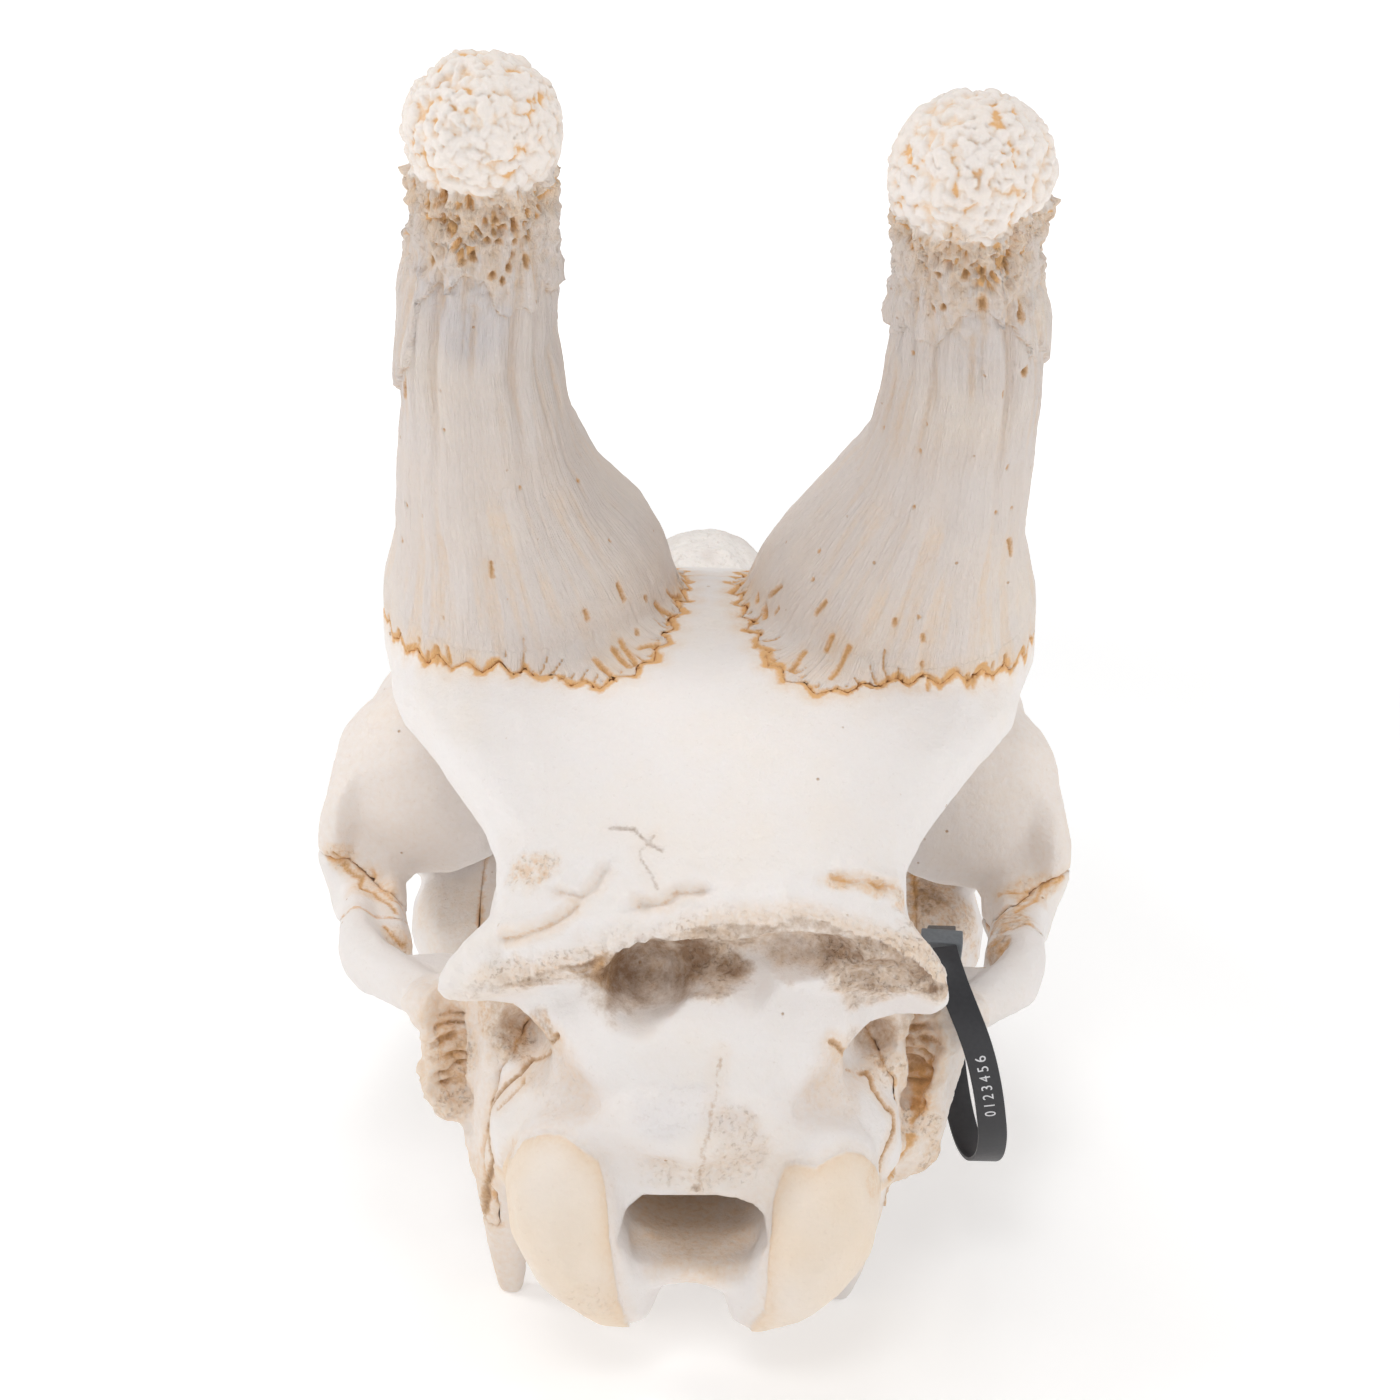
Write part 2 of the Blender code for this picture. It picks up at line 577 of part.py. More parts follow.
def jugal_region(side, grow):
    outline = [(-12, 60), (30, 16), (158, 16), (157, 76), (166, 88), (176, 96), (174, 107), (150, 107),
               (118, 107), (106, 98), (90, 98), (26, 98), (14, 82), (4, 66)]
    grown = grown_outline(outline, grow, 1.2)
    inner, outer = BROW_SEAM[0][0], BROW_SEAM[-1][0]
    rings = []
    for x, top in BROW_SEAM:
        x += grow * ((x == outer) - (x == inner))
        ring = []
        for point in grown:
            z = min(point.y, top + 2 * grow + 0.05 * (point.y - top)) if 104 < point.x < 153 else point.y
            ring.append((side * x, point.x, z))
        rings.append(ring)
    return [ring_solid(rings)]


def frontal_region(side, grow):
    outline = [(-4, 230), (4, 160), (14, 98), (122, 98), (132, 130), (136, 165), (136, 230)]
    wall = [(118, 84), (166, 84), (166, 128), (160, 152), (146, 166), (132, 170), (122, 150)]
    return [prism(outline, "x", -150, 150, grow, 1.2), side_prism(wall, 66, 150, LEFT, grow, 1.0),
            side_prism(wall, 66, 150, RIGHT, grow, 1.0)]


def temporal_region(side, grow):
    arch = [(158, 56), (240, 56), (240, 88), (232, 104), (205, 118), (175, 124), (157, 118)]
    ear = [(60, 30), (60, 84), (46, 104), (44, 120), (110, 120), (110, 30)]
    if side == RIGHT:
        ear = [(-x, z) for x, z in ear]
    return [side_prism(arch, 60, 150, side, grow, 1.0), prism(ear, "y", 225, 264, grow)]


def pterygoid_region(side, grow):
    outline = [(60, -20), (66, 30), (68, 52), (110, 56), (150, 60), (190, 70), (190, -20)]
    return [side_prism(outline, 12, 44, side, grow, 0.0)]


def part_off(rest, name, region, side, colour, roughness=0.6):
    """Cut one bone out of what is left of the skull, with the seam's gap round it."""
    bone = copy_of(rest, name)
    solids = region(side, 0.0)
    for extra in solids[1:]:
        boolean(solids[0], [extra], "UNION")
    boolean(bone, solids[:1], "INTERSECT")
    keep_largest(bone)
    boolean(rest, region(side, SUTURE_GAP), "DIFFERENCE")
    bone.data.materials.append(material(name, colour, roughness))
    return bone


# Teeth, one row a side
def cheek_teeth(side):
    teeth = []
    front = TOOTH_ROW_FRONT
    for length, width in TOOTH_SIZES:
        middle = front + length / 2
        share = (middle - TOOTH_ROW_FRONT) / TOOTH_ROW_LENGTH
        x = 37 + 16 * math.sin(share * 1.75)
        long, wide = length / 2 + 0.4, width / 2
        teeth.append(loft("tooth", [
            (x - 1, middle, TOOTH_CROWN + 8, wide * 0.8, long * 0.9),
            (x, middle, TOOTH_CROWN * 0.5, wide, long),
            (x + 1, middle, -4, wide * 0.92, long)], side, up=(0, 1, 0), sides=12, steps=1,
            squareness=4.0))
        front += length
    return teeth


# The collection tag: a flat strap through its lock, hung round the root of the right arch
STRAP_PATH = [
    (-74.2, 244.7, 121.2), (-75.2, 249.4, 118.4), (-77.6, 253.7, 112.5), (-80.6, 256.5, 105.8), (-83.8, 258.2, 98.5),
    (-86.6, 258.5, 90.5), (-89.2, 257.2, 80.5), (-91.3, 254.3, 70), (-93, 249.5, 59), (-93.3, 242, 48.5),
    (-92, 231, 41), (-89.8, 218, 39.5), (-87.5, 205.5, 45), (-85.5, 195, 56), (-84, 187.5, 72),
    (-82, 184.5, 88), (-80, 190, 102), (-78.3, 203, 109), (-76.5, 218, 114.3), (-75, 231, 118.3),
    (-74.4, 239, 118.2), (-74, 244.4, 113.6), (-73.8, 246.8, 108), (-73.5, 248, 103.5)]
STRAP_STEPS = 3
LOCK_STATION = 20
LOCK_LOW = (-6.4, -3.0, -2.6)
LOCK_HIGH = (6.4, 3.0, 5.6)
SLOT_PLAY = (0.6, 0.9)


def strap_frames():
    rows = smooth_rows(STRAP_PATH, STRAP_STEPS)
    tangents = np.gradient(rows, axis=0)
    frames = []
    for place, along in zip(rows, tangents):
        along = Vector(along).normalized()
        across = Vector((1, 0, 0))
        across = (across - along * across.dot(along)).normalized()
        frames.append((Vector(place), along, across, along.cross(across)))
    return frames


def tag_strap():
    bm = bmesh.new()
    rings = []
    for place, _, across, out in strap_frames():
        ring = []
        for u, v in ((-1, -1), (1, -1), (1, 1), (-1, 1)):
            ring.append(bm.verts.new(place + across * u * STRAP_WIDTH / 2 + out * v * STRAP_THICKNESS / 2))
        rings.append(ring)
    for low, high in zip(rings, rings[1:]):
        for j in range(4):
            k = (j + 1) % 4
            bm.faces.new((low[j], low[k], high[k], high[j]))
    bm.faces.new(rings[0])
    bm.faces.new(rings[-1])
    bmesh.ops.triangulate(bm, faces=bm.faces)
    strap = add_object("tag_strap", bm)
    strap.data.materials.append(material("tag_strap", TAG_BLACK, 0.45))
    return strap


def tag_lock():
    """A small block with a slot that the strap runs through."""
    place, along, across, _ = strap_frames()[LOCK_STATION * STRAP_STEPS]
    pose = Matrix((across, along, across.cross(along))).transposed().to_4x4()
    pose.translation = place * MM
    lock = block("tag_lock", LOCK_LOW, LOCK_HIGH)
    half_wide, half_thick = STRAP_WIDTH / 2 + SLOT_PLAY[0], STRAP_THICKNESS / 2 + SLOT_PLAY[1]
    slot = block("slot", (-half_wide, -9, -half_thick), (half_wide, 9, half_thick))
    boolean(lock, [slot], "DIFFERENCE")
    lock.data.transform(pose)
    lock.data.materials.append(material("tag_lock", TAG_GREY, 0.4))
    return lock


def centre_on_floor():
    """Move everything so that the middle of the footprint is the origin and the lowest point is z = 0."""
    points = np.array([v.co for thing in bpy.data.objects for v in thing.data.vertices])
    low, high = points.min(axis=0), points.max(axis=0)
    shift = Vector((-(low[0] + high[0]) / 2, -(low[1] + high[1]) / 2, -low[2]))
    for thing in bpy.data.objects:
        thing.data.transform(Matrix.Translation(shift))


def main():
    clear_scene()
    skull = whole_skull()
    for side in (LEFT, RIGHT):
        part_off(skull, "ossicone_" + SIDE_NAME[side], horn_region, side, HORN_BONE)
    part_off(skull, "ossicone_median", nose_horn_region, LEFT, HORN_BONE)
    for side in (LEFT, RIGHT):
        word = SIDE_NAME[side]
        part_off(skull, "nasal_" + word, nasal_region, side, FACE_BONE)
        part_off(skull, "premaxilla_" + word, premaxilla_region, side, FACE_BONE)
        maxilla = part_off(skull, "maxilla_" + word, maxilla_region, side, FACE_BONE)
        boolean(maxilla, cheek_teeth(side), "UNION")
        under = block("under the floor", (-200, -400, -60), (200, 400, 0))
        keep_largest(boolean(maxilla, [under], "DIFFERENCE"))
        part_off(skull, "lacrimal_" + word, lacrimal_region, side, FACE_BONE)
        part_off(skull, "jugal_" + word, jugal_region, side, FACE_BONE)
        part_off(skull, "temporal_" + word, temporal_region, side, BONE)
        part_off(skull, "pterygoid_" + word, pterygoid_region, side, FACE_BONE)
    part_off(skull, "frontal", frontal_region, LEFT, BONE)
    keep_largest(skull)
    skull.data.materials.append(material("cranium", BONE, 0.6))
    tag_strap()
    tag_lock()
    centre_on_floor()
    for thing in bpy.data.objects:
        thing.data.set_sharp_from_angle(angle=math.radians(SHARP_ANGLE))


main()
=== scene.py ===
"""Dresses the giraffe skull: sculpted bone, cheek teeth, collection tag, floor, light and camera.

Each bone starts as a copy of its plain solid. It is remeshed finely and its surface is then moved in
and out: lumps on the horn caps, pits and fibres on the horn cores, toothed seams, crest and cracks.
Places on the skull are given in millimetres, in the frame that the skull was measured in.
"""

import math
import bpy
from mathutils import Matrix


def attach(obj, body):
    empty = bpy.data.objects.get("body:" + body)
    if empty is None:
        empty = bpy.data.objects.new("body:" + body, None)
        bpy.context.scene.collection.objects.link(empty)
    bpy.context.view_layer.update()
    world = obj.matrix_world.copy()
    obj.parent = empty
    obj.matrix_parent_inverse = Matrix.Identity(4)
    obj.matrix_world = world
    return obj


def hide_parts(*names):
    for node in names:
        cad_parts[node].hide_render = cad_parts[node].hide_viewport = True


bl_info = {
    "name": "Giraffe Skull",
    "version": (1, 0, 0),
    "blender": (4, 5, 0),
    "location": "View3D > Sidebar > Skull",
    "description": "Builds the bones, teeth, tag and studio of a giraffe skull",
    "category": "Object",
}

import bmesh
import bpy
import numpy as np
from bpy.props import FloatProperty, FloatVectorProperty, PointerProperty, StringProperty
from mathutils import Matrix, Vector
from mathutils.bvhtree import BVHTree

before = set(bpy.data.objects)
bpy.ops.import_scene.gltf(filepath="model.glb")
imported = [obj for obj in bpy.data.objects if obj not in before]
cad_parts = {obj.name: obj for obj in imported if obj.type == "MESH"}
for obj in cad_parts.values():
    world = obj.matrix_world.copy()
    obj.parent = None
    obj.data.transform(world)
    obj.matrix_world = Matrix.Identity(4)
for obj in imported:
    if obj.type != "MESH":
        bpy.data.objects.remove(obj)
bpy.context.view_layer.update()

MM = 0.001
# From the frame that the skull was measured in to the middle of its footprint
FOOT_SHIFT = np.array([-1.904, 0.883, 0.0])
LEFT, RIGHT = 1, -1
SIDES = {"left": LEFT, "right": RIGHT}
OPPOSITE = {"left": "right", "right": "left"}
MOST_FACES = 192000  # of one bone


# Sizes and colours that a user may change
class SKULL_PG_bone(bpy.types.PropertyGroup):
    fineness: FloatProperty(
        name="Fineness", description="Size of the small cubes that the bones are remeshed with",
        default=0.001, min=0.0007, max=0.004, unit="LENGTH")
    face_fineness: FloatProperty(
        name="Face Fineness", description="Size of the small cubes that the face bones are remeshed with",
        default=0.0013, min=0.0008, max=0.004, unit="LENGTH")
    horn_fineness: FloatProperty(
        name="Horn Fineness", description="Size of the small cubes that the horn cores are remeshed with",
        default=0.0008, min=0.0006, max=0.004, unit="LENGTH")
    cap_lump: FloatProperty(
        name="Cap Lump", description="Width of the lumps on the caps of the horn cores",
        default=0.0032, unit="LENGTH")
    ivory: FloatVectorProperty(
        name="Ivory", description="Main colour of clean bone", subtype="COLOR", size=3,
        default=(0.86, 0.82, 0.80), min=0, max=1)
    shell_grey: FloatVectorProperty(
        name="Shell Grey", description="Cooler colour of the horn cores", subtype="COLOR", size=3,
        default=(0.73, 0.66, 0.62), min=0, max=1)
    cream: FloatVectorProperty(
        name="Cream", description="Colour of the greasy joint surfaces", subtype="COLOR", size=3,
        default=(0.87, 0.72, 0.56), min=0, max=1)
    amber: FloatVectorProperty(
        name="Amber", description="Colour of stained seams and pits", subtype="COLOR", size=3,
        default=(0.76, 0.43, 0.17), min=0, max=1)
    # Umber also serves as painted shade in the scoop and under the lip of the crest
    umber: FloatVectorProperty(
        name="Umber", description="Colour of dirt in cracks and rough patches", subtype="COLOR", size=3,
        default=(0.27, 0.155, 0.085), min=0, max=1)


class SKULL_PG_tag(bpy.types.PropertyGroup):
    number: StringProperty(
        name="Number", description="Plain digits printed on the tag's strap", default="0123456")
    strap_width: FloatProperty(
        name="Strap Width", description="Width of the tag's strap", default=0.009, unit="LENGTH")
    strap_thickness: FloatProperty(
        name="Strap Thickness", description="Thickness of the tag's strap", default=0.0012, unit="LENGTH")
    black: FloatVectorProperty(
        name="Black", description="Colour of the strap", subtype="COLOR", size=3,
        default=(0.013, 0.013, 0.016), min=0, max=1)
    print_white: FloatVectorProperty(
        name="Print White", description="Colour of the digits", subtype="COLOR", size=3,
        default=(0.52, 0.52, 0.54), min=0, max=1)


class SKULL_PG_studio(bpy.types.PropertyGroup):
    floor_size: FloatProperty(
        name="Floor Size", description="Width of the pale floor", default=60.0, unit="LENGTH")
    key_power: FloatProperty(name="Key Power", description="Power of the main soft light", default=9.0)
    floor_glow: FloatProperty(
        name="Floor Glow", description="Light that the far floor gives off by itself", default=0.78)
    floor_colour: FloatVectorProperty(
        name="Floor", description="Colour of the floor", subtype="COLOR", size=3,
        default=(0.93, 0.93, 0.93), min=0, max=1)


# Noise on many points at once
def scramble(x, y, z, seed):
    n = x.astype(np.uint32) * np.uint32(73856093)
    n = n ^ (y.astype(np.uint32) * np.uint32(19349663))
    n = n ^ (z.astype(np.uint32) * np.uint32(83492791))
    n = n ^ np.uint32((seed * 2654435761) & 0xFFFFFFFF)
    n = (n ^ (n >> np.uint32(15))) * np.uint32(2246822519)
    n = (n ^ (n >> np.uint32(13))) * np.uint32(3266489917)
    n = n ^ (n >> np.uint32(16))
    return n.astype(np.float32) / np.float32(4294967296.0)


def noise(points, size, seed=0):
    """Smooth noise from -1 to 1 with features of about the given size."""
    p = points / np.asarray(size, np.float32)
    low = np.floor(p)
    f = p - low
    f = f * f * (3 - 2 * f)
    low = low.astype(np.int64)
    total = np.zeros(len(p), np.float32)
    for dx in (0, 1):
        wx = f[:, 0] if dx else 1 - f[:, 0]
        for dy in (0, 1):
            wy = f[:, 1] if dy else 1 - f[:, 1]
            for dz in (0, 1):
                wz = f[:, 2] if dz else 1 - f[:, 2]
                total += wx * wy * wz * scramble(low[:, 0] + dx, low[:, 1] + dy, low[:, 2] + dz, seed)
    return total * 2 - 1


def layered(points, size, layers=3, seed=0):
    total = np.zeros(len(points), np.float32)
    strength, weight = 1.0, 0.0
    size = np.asarray(size, np.float32)
    for i in range(layers):
        total += strength * noise(points, size / 2 ** i, seed + 17 * i)
        weight += strength
        strength *= 0.5
    return total / weight


def drift(points, size, seed):
    """Smooth noise in three directions."""
    return np.stack([noise(points, size, seed + i) for i in range(3)], axis=1)


def cells(points, size, seed=0, jitter=0.9):
    """Distance to the nearest and the second nearest of scattered points, and a number for each."""
    p = points / np.asarray(size, np.float32)
    low = np.floor(p).astype(np.int64)
    near = np.full(len(p), 9.0, np.float32)
    second = np.full(len(p), 9.0, np.float32)
    number = np.zeros(len(p), np.float32)
    for dx in (-1, 0, 1):
        for dy in (-1, 0, 1):
            for dz in (-1, 0, 1):
                x, y, z = low[:, 0] + dx, low[:, 1] + dy, low[:, 2] + dz
                own = scramble(x, y, z, seed)
                qx = x + 0.5 + jitter * (own - 0.5) - p[:, 0]
                qy = y + 0.5 + jitter * (scramble(x, y, z, seed + 1) - 0.5) - p[:, 1]
                qz = z + 0.5 + jitter * (scramble(x, y, z, seed + 2) - 0.5) - p[:, 2]
                d = np.sqrt(qx * qx + qy * qy + qz * qz).astype(np.float32)
                closer = d < near
                second = np.where(closer, near, np.minimum(second, d))
                number = np.where(closer, own, number)
                near = np.where(closer, d, near)
    return near, second, number


def inside_outline(x, z, outline):
    """Which points lie within a closed outline, both seen from behind."""
    within = np.zeros(len(x), bool)
    for (ax, az), (bx, bz) in zip(outline, outline[1:] + outline[:1]):
        crosses = (az > z) != (bz > z)
        within ^= crosses & (x < ax + (z - az) / (bz - az + 1e-9) * (bx - ax))
    return within


def rise(value, low, high):
    """0 below low, 1 above high and a smooth step between; low may be the larger."""
    t = np.clip((value - low) / (high - low), 0.0, 1.0)
    return t * t * (3 - 2 * t)


def boxed(points, corners, reach):
    """Numbers of the points that lie in the box round some corners, widened by a reach."""
    corners = np.asarray(corners)
    low, high = corners.min(0) - reach, corners.max(0) + reach
    return np.nonzero(np.all((points > low) & (points < high), axis=1))[0]


def to_path(points, path):
    """Distance of each point to a path of straight stretches, and how far along the path it is."""
    path = np.asarray(path, float)
    best = np.full(len(points), 1e9)
    along = np.zeros(len(points))
    foot = np.zeros((len(points), 3))
    start = 0.0
    for a, b in zip(path, path[1:]):
        ab = b - a
        length = np.linalg.norm(ab)
        t = np.clip((points - a) @ ab / length ** 2, 0.0, 1.0)
        q = a + t[:, None] * ab
        d = np.linalg.norm(points - q, axis=1)
        closer = d < best
        best = np.where(closer, d, best)
        along = np.where(closer, start + t * length, along)
        foot[closer] = q[closer]
        start += length
    return best, along, foot


def triples(items, key):
    """A property of three numbers of many items, one row each."""
    flat = np.empty(len(items) * 3, np.float32)
    items.foreach_get(key, flat)
    return flat.reshape(-1, 3)


# A copy of a bone whose surface can be worked
class Clay:
    """Points of a piece in the skull's millimetres, with the marks that its material reads."""

    def __init__(self, piece):
        self.piece = piece
        count = len(piece.data.vertices)
        self.p = triples(piece.data.vertices, "co") / MM - FOOT_SHIFT
        self.read_normals()
        self.move = np.zeros(count)
        # Crisp marks
        self.amber = np.zeros(count)
        self.umber = np.zeros(count)
        self.cream = np.zeros(count)
        self.pale = np.zeros(count)
        # Soft tints
        self.halo = np.zeros(count)
        self.grey = np.zeros(count)
        self.foam = np.zeros(count)
        self.fibre = np.zeros(count)
        # Where a point lies across and along the fibres of the bone
        self.grain = np.zeros((count, 3))

    def read_normals(self):
        self.n = triples(self.piece.data.vertex_normals, "vector")

    def press(self):
        """Move the surface by what has been asked so far."""
        self.p = self.p + self.n * self.move[:, None]
        self.move[:] = 0.0
        mesh = self.piece.data
        mesh.vertices.foreach_set("co", ((self.p + FOOT_SHIFT) * MM).astype(np.float32).ravel())
        mesh.update()
        self.read_normals()

    def keep(self):
        self.press()
        mesh = self.piece.data
        across = mesh.attributes.new("grain", "FLOAT_VECTOR", "POINT")
        across.data.foreach_set("vector", self.grain.astype(np.float32).ravel())
        for name, values in (("marks", (self.amber, self.umber, self.cream, self.pale)),
                             ("tints", (self.halo, self.grey, self.foam, self.fibre))):
            kept = mesh.attributes.new(name, "FLOAT_COLOR", "POINT")
            values = np.clip(np.stack(values, axis=1), 0, 1)
            kept.data.foreach_set("color", values.astype(np.float32).ravel())


def only(piece):
    bpy.ops.object.select_all(action="DESELECT")
    piece.select_set(True)
    bpy.context.view_layer.objects.active = piece


def apply_all(piece):
    only(piece)
    for modifier in list(piece.modifiers):
        bpy.ops.object.modifier_apply(modifier=modifier.name)


def gap_distance(piece, names, reach=6.0):
    """How far each vertex is from the named solids, in millimetres, and how squarely it faces them."""
    places = triples(piece.data.vertices, "co")
    normals = triples(piece.data.vertex_normals, "vector")
    found = np.full(len(places), reach)
    facing = np.zeros(len(places))
    for name in names:
        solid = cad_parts[name].data
        points = [v.co for v in solid.vertices]
        tree = BVHTree.FromPolygons(points, [tuple(f.vertices) for f in solid.polygons])
        corners = np.array([tuple(v) for v in points])
        for i in boxed(places, corners, reach * MM):
            hit = tree.find_nearest(Vector(places[i]), found[i] * MM)
            if hit[0] is not None and hit[3] < found[i] * MM:
                found[i] = hit[3] / MM
                away = np.array(hit[0]) - places[i]
                facing[i] = float(away @ normals[i]) / (hit[3] + 1e-9)
    return found, facing


NEIGHBOURS = {
    "cranium": ["frontal", "ossicone_left", "ossicone_right", "temporal_left", "temporal_right",
                "pterygoid_left", "pterygoid_right"],
    "frontal": ["cranium", "ossicone_left", "ossicone_right", "ossicone_median", "jugal_left", "jugal_right",
                "lacrimal_left", "lacrimal_right", "maxilla_left", "maxilla_right", "nasal_left",
                "nasal_right"],
    "ossicone_median": ["frontal"]}
for word in SIDES:
    NEIGHBOURS["ossicone_" + word] = ["cranium", "frontal"]
    NEIGHBOURS["nasal_" + word] = ["nasal_" + OPPOSITE[word], "maxilla_" + word, "frontal"]
    NEIGHBOURS["premaxilla_" + word] = ["maxilla_" + word]
    NEIGHBOURS["maxilla_" + word] = ["premaxilla_" + word, "nasal_" + word, "lacrimal_" + word,
                                     "jugal_" + word, "frontal", "maxilla_" + OPPOSITE[word]]
    NEIGHBOURS["lacrimal_" + word] = ["maxilla_" + word, "jugal_" + word, "frontal"]
    NEIGHBOURS["jugal_" + word] = ["maxilla_" + word, "lacrimal_" + word, "temporal_" + word, "frontal"]
    NEIGHBOURS["temporal_" + word] = ["cranium", "jugal_" + word]
    NEIGHBOURS["pterygoid_" + word] = ["cranium", "maxilla_" + word, "frontal"]


# Rounded hollows that are taken out of a bone: centre and radii
HOLLOWS = {"cranium": [
    ((0, 286, 132.5), (26, 15, 9.5)), ((15, 283, 126.5), (13, 17, 11.5)),
    ((-29, 286, 135.5), (19, 14, 9)), ((-52, 287, 127), (15, 10.5, 9))]}


def scoop_out(piece, centre, radii):
    bpy.ops.object.select_all(action="DESELECT")
    place = tuple((np.array(centre) + FOOT_SHIFT) * MM)
    bpy.ops.mesh.primitive_ico_sphere_add(subdivisions=4, radius=1.0, location=place,
                                          scale=tuple(np.array(radii) * MM))
    spoon = bpy.context.object
    cut = piece.modifiers.new("Hollow", "BOOLEAN")
    cut.operation = "DIFFERENCE"
    cut.solver = "MANIFOLD"
    cut.object = spoon
    apply_all(piece)
    bpy.data.objects.remove(spoon)


def solid_copy(name, ending, quads=False):
    """A copy of a solid with its loose triangles joined."""
    piece = bpy.data.objects.new(name + ending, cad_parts[name].data.copy())
    bpy.context.scene.collection.objects.link(piece)
    piece.data.materials.clear()
    only(piece)
    bpy.ops.object.mode_set(mode="EDIT")
    bpy.ops.mesh.select_all(action="SELECT")
    bpy.ops.mesh.remove_doubles(threshold=1e-6)
    if quads:
        bpy.ops.mesh.tris_convert_to_quads()
    bpy.ops.object.mode_set(mode="OBJECT")
    return piece


def bone_copy(name, fineness, smoothing=18, crisp=()):
    """A finely meshed copy of a bone's solid, smooth between its seams and away from the crisp lines."""
    piece = solid_copy(name, "_bone")
    voxels = piece.modifiers.new("Fine cubes", "REMESH")
    voxels.mode = "VOXEL"
    voxels.voxel_size = fineness
    apply_all(piece)
    for centre, radii in HOLLOWS.get(name, ()):
        scoop_out(piece, centre, radii)
    seam, facing = gap_distance(piece, NEIGHBOURS[name])
    free = piece.vertex_groups.new(name="free")
    loose = np.clip((seam - 0.6) / 1.6, 0, 1)
    clay = Clay(piece)
    for line, width in crisp:
        distance, _, _ = to_path(clay.p, line)
        loose = np.minimum(loose, 0.12 + 0.88 * rise(distance, width * 0.5, width))
    for level in range(1, 9):
        chosen = np.nonzero(np.round(loose * 8) == level)[0]
        free.add(chosen.tolist(), level / 8, "REPLACE")
    soften = piece.modifiers.new("Soften", "SMOOTH")
    soften.factor = 0.6
    soften.iterations = smoothing
    soften.vertex_group = "free"
    apply_all(piece)
    piece.vertex_groups.clear()
    bpy.ops.object.shade_smooth()
    clay = Clay(piece)
    clay.seam = seam
    clay.facing = facing
    return clay


def thin_out(clay, most):
    """Take faces away, first where nobody looks, until the piece has at most the given number."""
    piece = clay.piece
    count = sum(len(face.vertices) - 2 for face in piece.data.polygons)
    if count <= most:
        return
    group = piece.vertex_groups.new(name="out of sight")
    seen = rise(clay.n @ np.array([0.0, 0.8, 0.6]), -0.15, 0.25) * rise(clay.p[:, 1], 120, 170)
    for level in range(0, 5):
        chosen = np.nonzero(np.round((1 - seen) * 4) == level)[0]
        group.add(chosen.tolist(), 0.02 + level * 0.245, "REPLACE")
    fewer = piece.modifiers.new("Fewer faces", "DECIMATE")
    fewer.ratio = most / count
    fewer.vertex_group = group.name
    fewer.vertex_group_factor = 4.0
    apply_all(piece)
    piece.vertex_groups.clear()


def finish_bone(clay, name, finish):
    clay.keep()
    thin_out(clay, MOST_FACES)
    piece = clay.piece
    piece.data.materials.clear()
    piece.data.materials.append(finish)
    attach(piece, "root")
    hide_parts(name)


# Working the surface of all bones
def bone_skin(clay, stain=0.5, seed=3):
    """Low waves, small pits and a stained, chamfered edge beside every seam."""
    p, seam = clay.p, clay.seam
    clay.move += 0.55 * layered(p, 16.0, 3, seed) + 0.10 * noise(p, 2.4, seed + 5)
    wall = rise(clay.facing, 0.45, 0.75) * rise(seam, 1.0, 0.6)
    clay.move += 0.16 * wall
    edge = rise(seam, 1.6, 0.4) * (1 - wall)
    clay.move -= 0.30 * edge
    patchy = 0.5 + 0.5 * noise(p, 13.0, seed + 21)
    ragged = 0.9 + 1.3 * noise(p, 4.2, seed + 23) + 0.7 * noise(p, 1.8, seed + 25)
    clay.amber += stain * np.clip(0.55 + (ragged - seam) / 1.8, 0, 1.2) * (seam < 5)
    clay.umber += 0.12 * rise(seam, 0.8, 0.35) * patchy
    clay.halo += stain * rise(seam, 9.0, 1.0) * patchy * 0.7
    # Patches of stain, and of painted shade under the crest, from the table
    for spot in STAINS_AND_SHADE:
        patch(clay, *spot)


def patch(clay, centre, radii, height=0.0, size=3.0, amber=0.0, umber=0.0, halo=0.0, grey=0.0, foam=0.0,
          pale=0.0):
    """Raised, sunk and stained bone, and painted shade, within an oval that fades at its rim."""
    centre, radii = np.array(centre, float), np.array(radii, float)
    near = np.nonzero(np.all(np.abs(clay.p - centre) < radii * 1.45, axis=1))[0]
    if len(near) == 0:
        return
    p = clay.p[near]
    seed = int(abs(centre[0] * 3 + centre[1] * 5 + centre[2] * 7)) % 997
    reach = np.linalg.norm((p - centre) / radii, axis=1)
    inside = rise(reach + 0.42 * noise(p, size * 3, seed) + 0.22 * noise(p, size * 1.1, seed + 4), 1.25, 0.6)
    rough = layered(p, size, 3, seed + 1)
    clay.move[near] += inside * height * (0.5 + 1.1 * rough)
    clay.amber[near] += inside * amber * (0.75 + 0.6 * rough)
    clay.umber[near] += inside * umber * (0.75 - 0.7 * rough)
    clay.halo[near] += inside * halo * (0.8 + 0.4 * rough)
    clay.grey[near] += inside * grey
    clay.foam[near] += inside * foam
    clay.pale[near] += inside * pale


def surface_distance(clay, near, points, path):
    """Distance to a path along the surface, because straight stretches leave a curved surface."""
    distance, _, foot = to_path(points, path)
    aside = points - foot
    aside -= (aside * clay.n[near]).sum(axis=1)[:, None] * clay.n[near]
    return np.where(distance < 4.0, np.linalg.norm(aside, axis=1), distance)


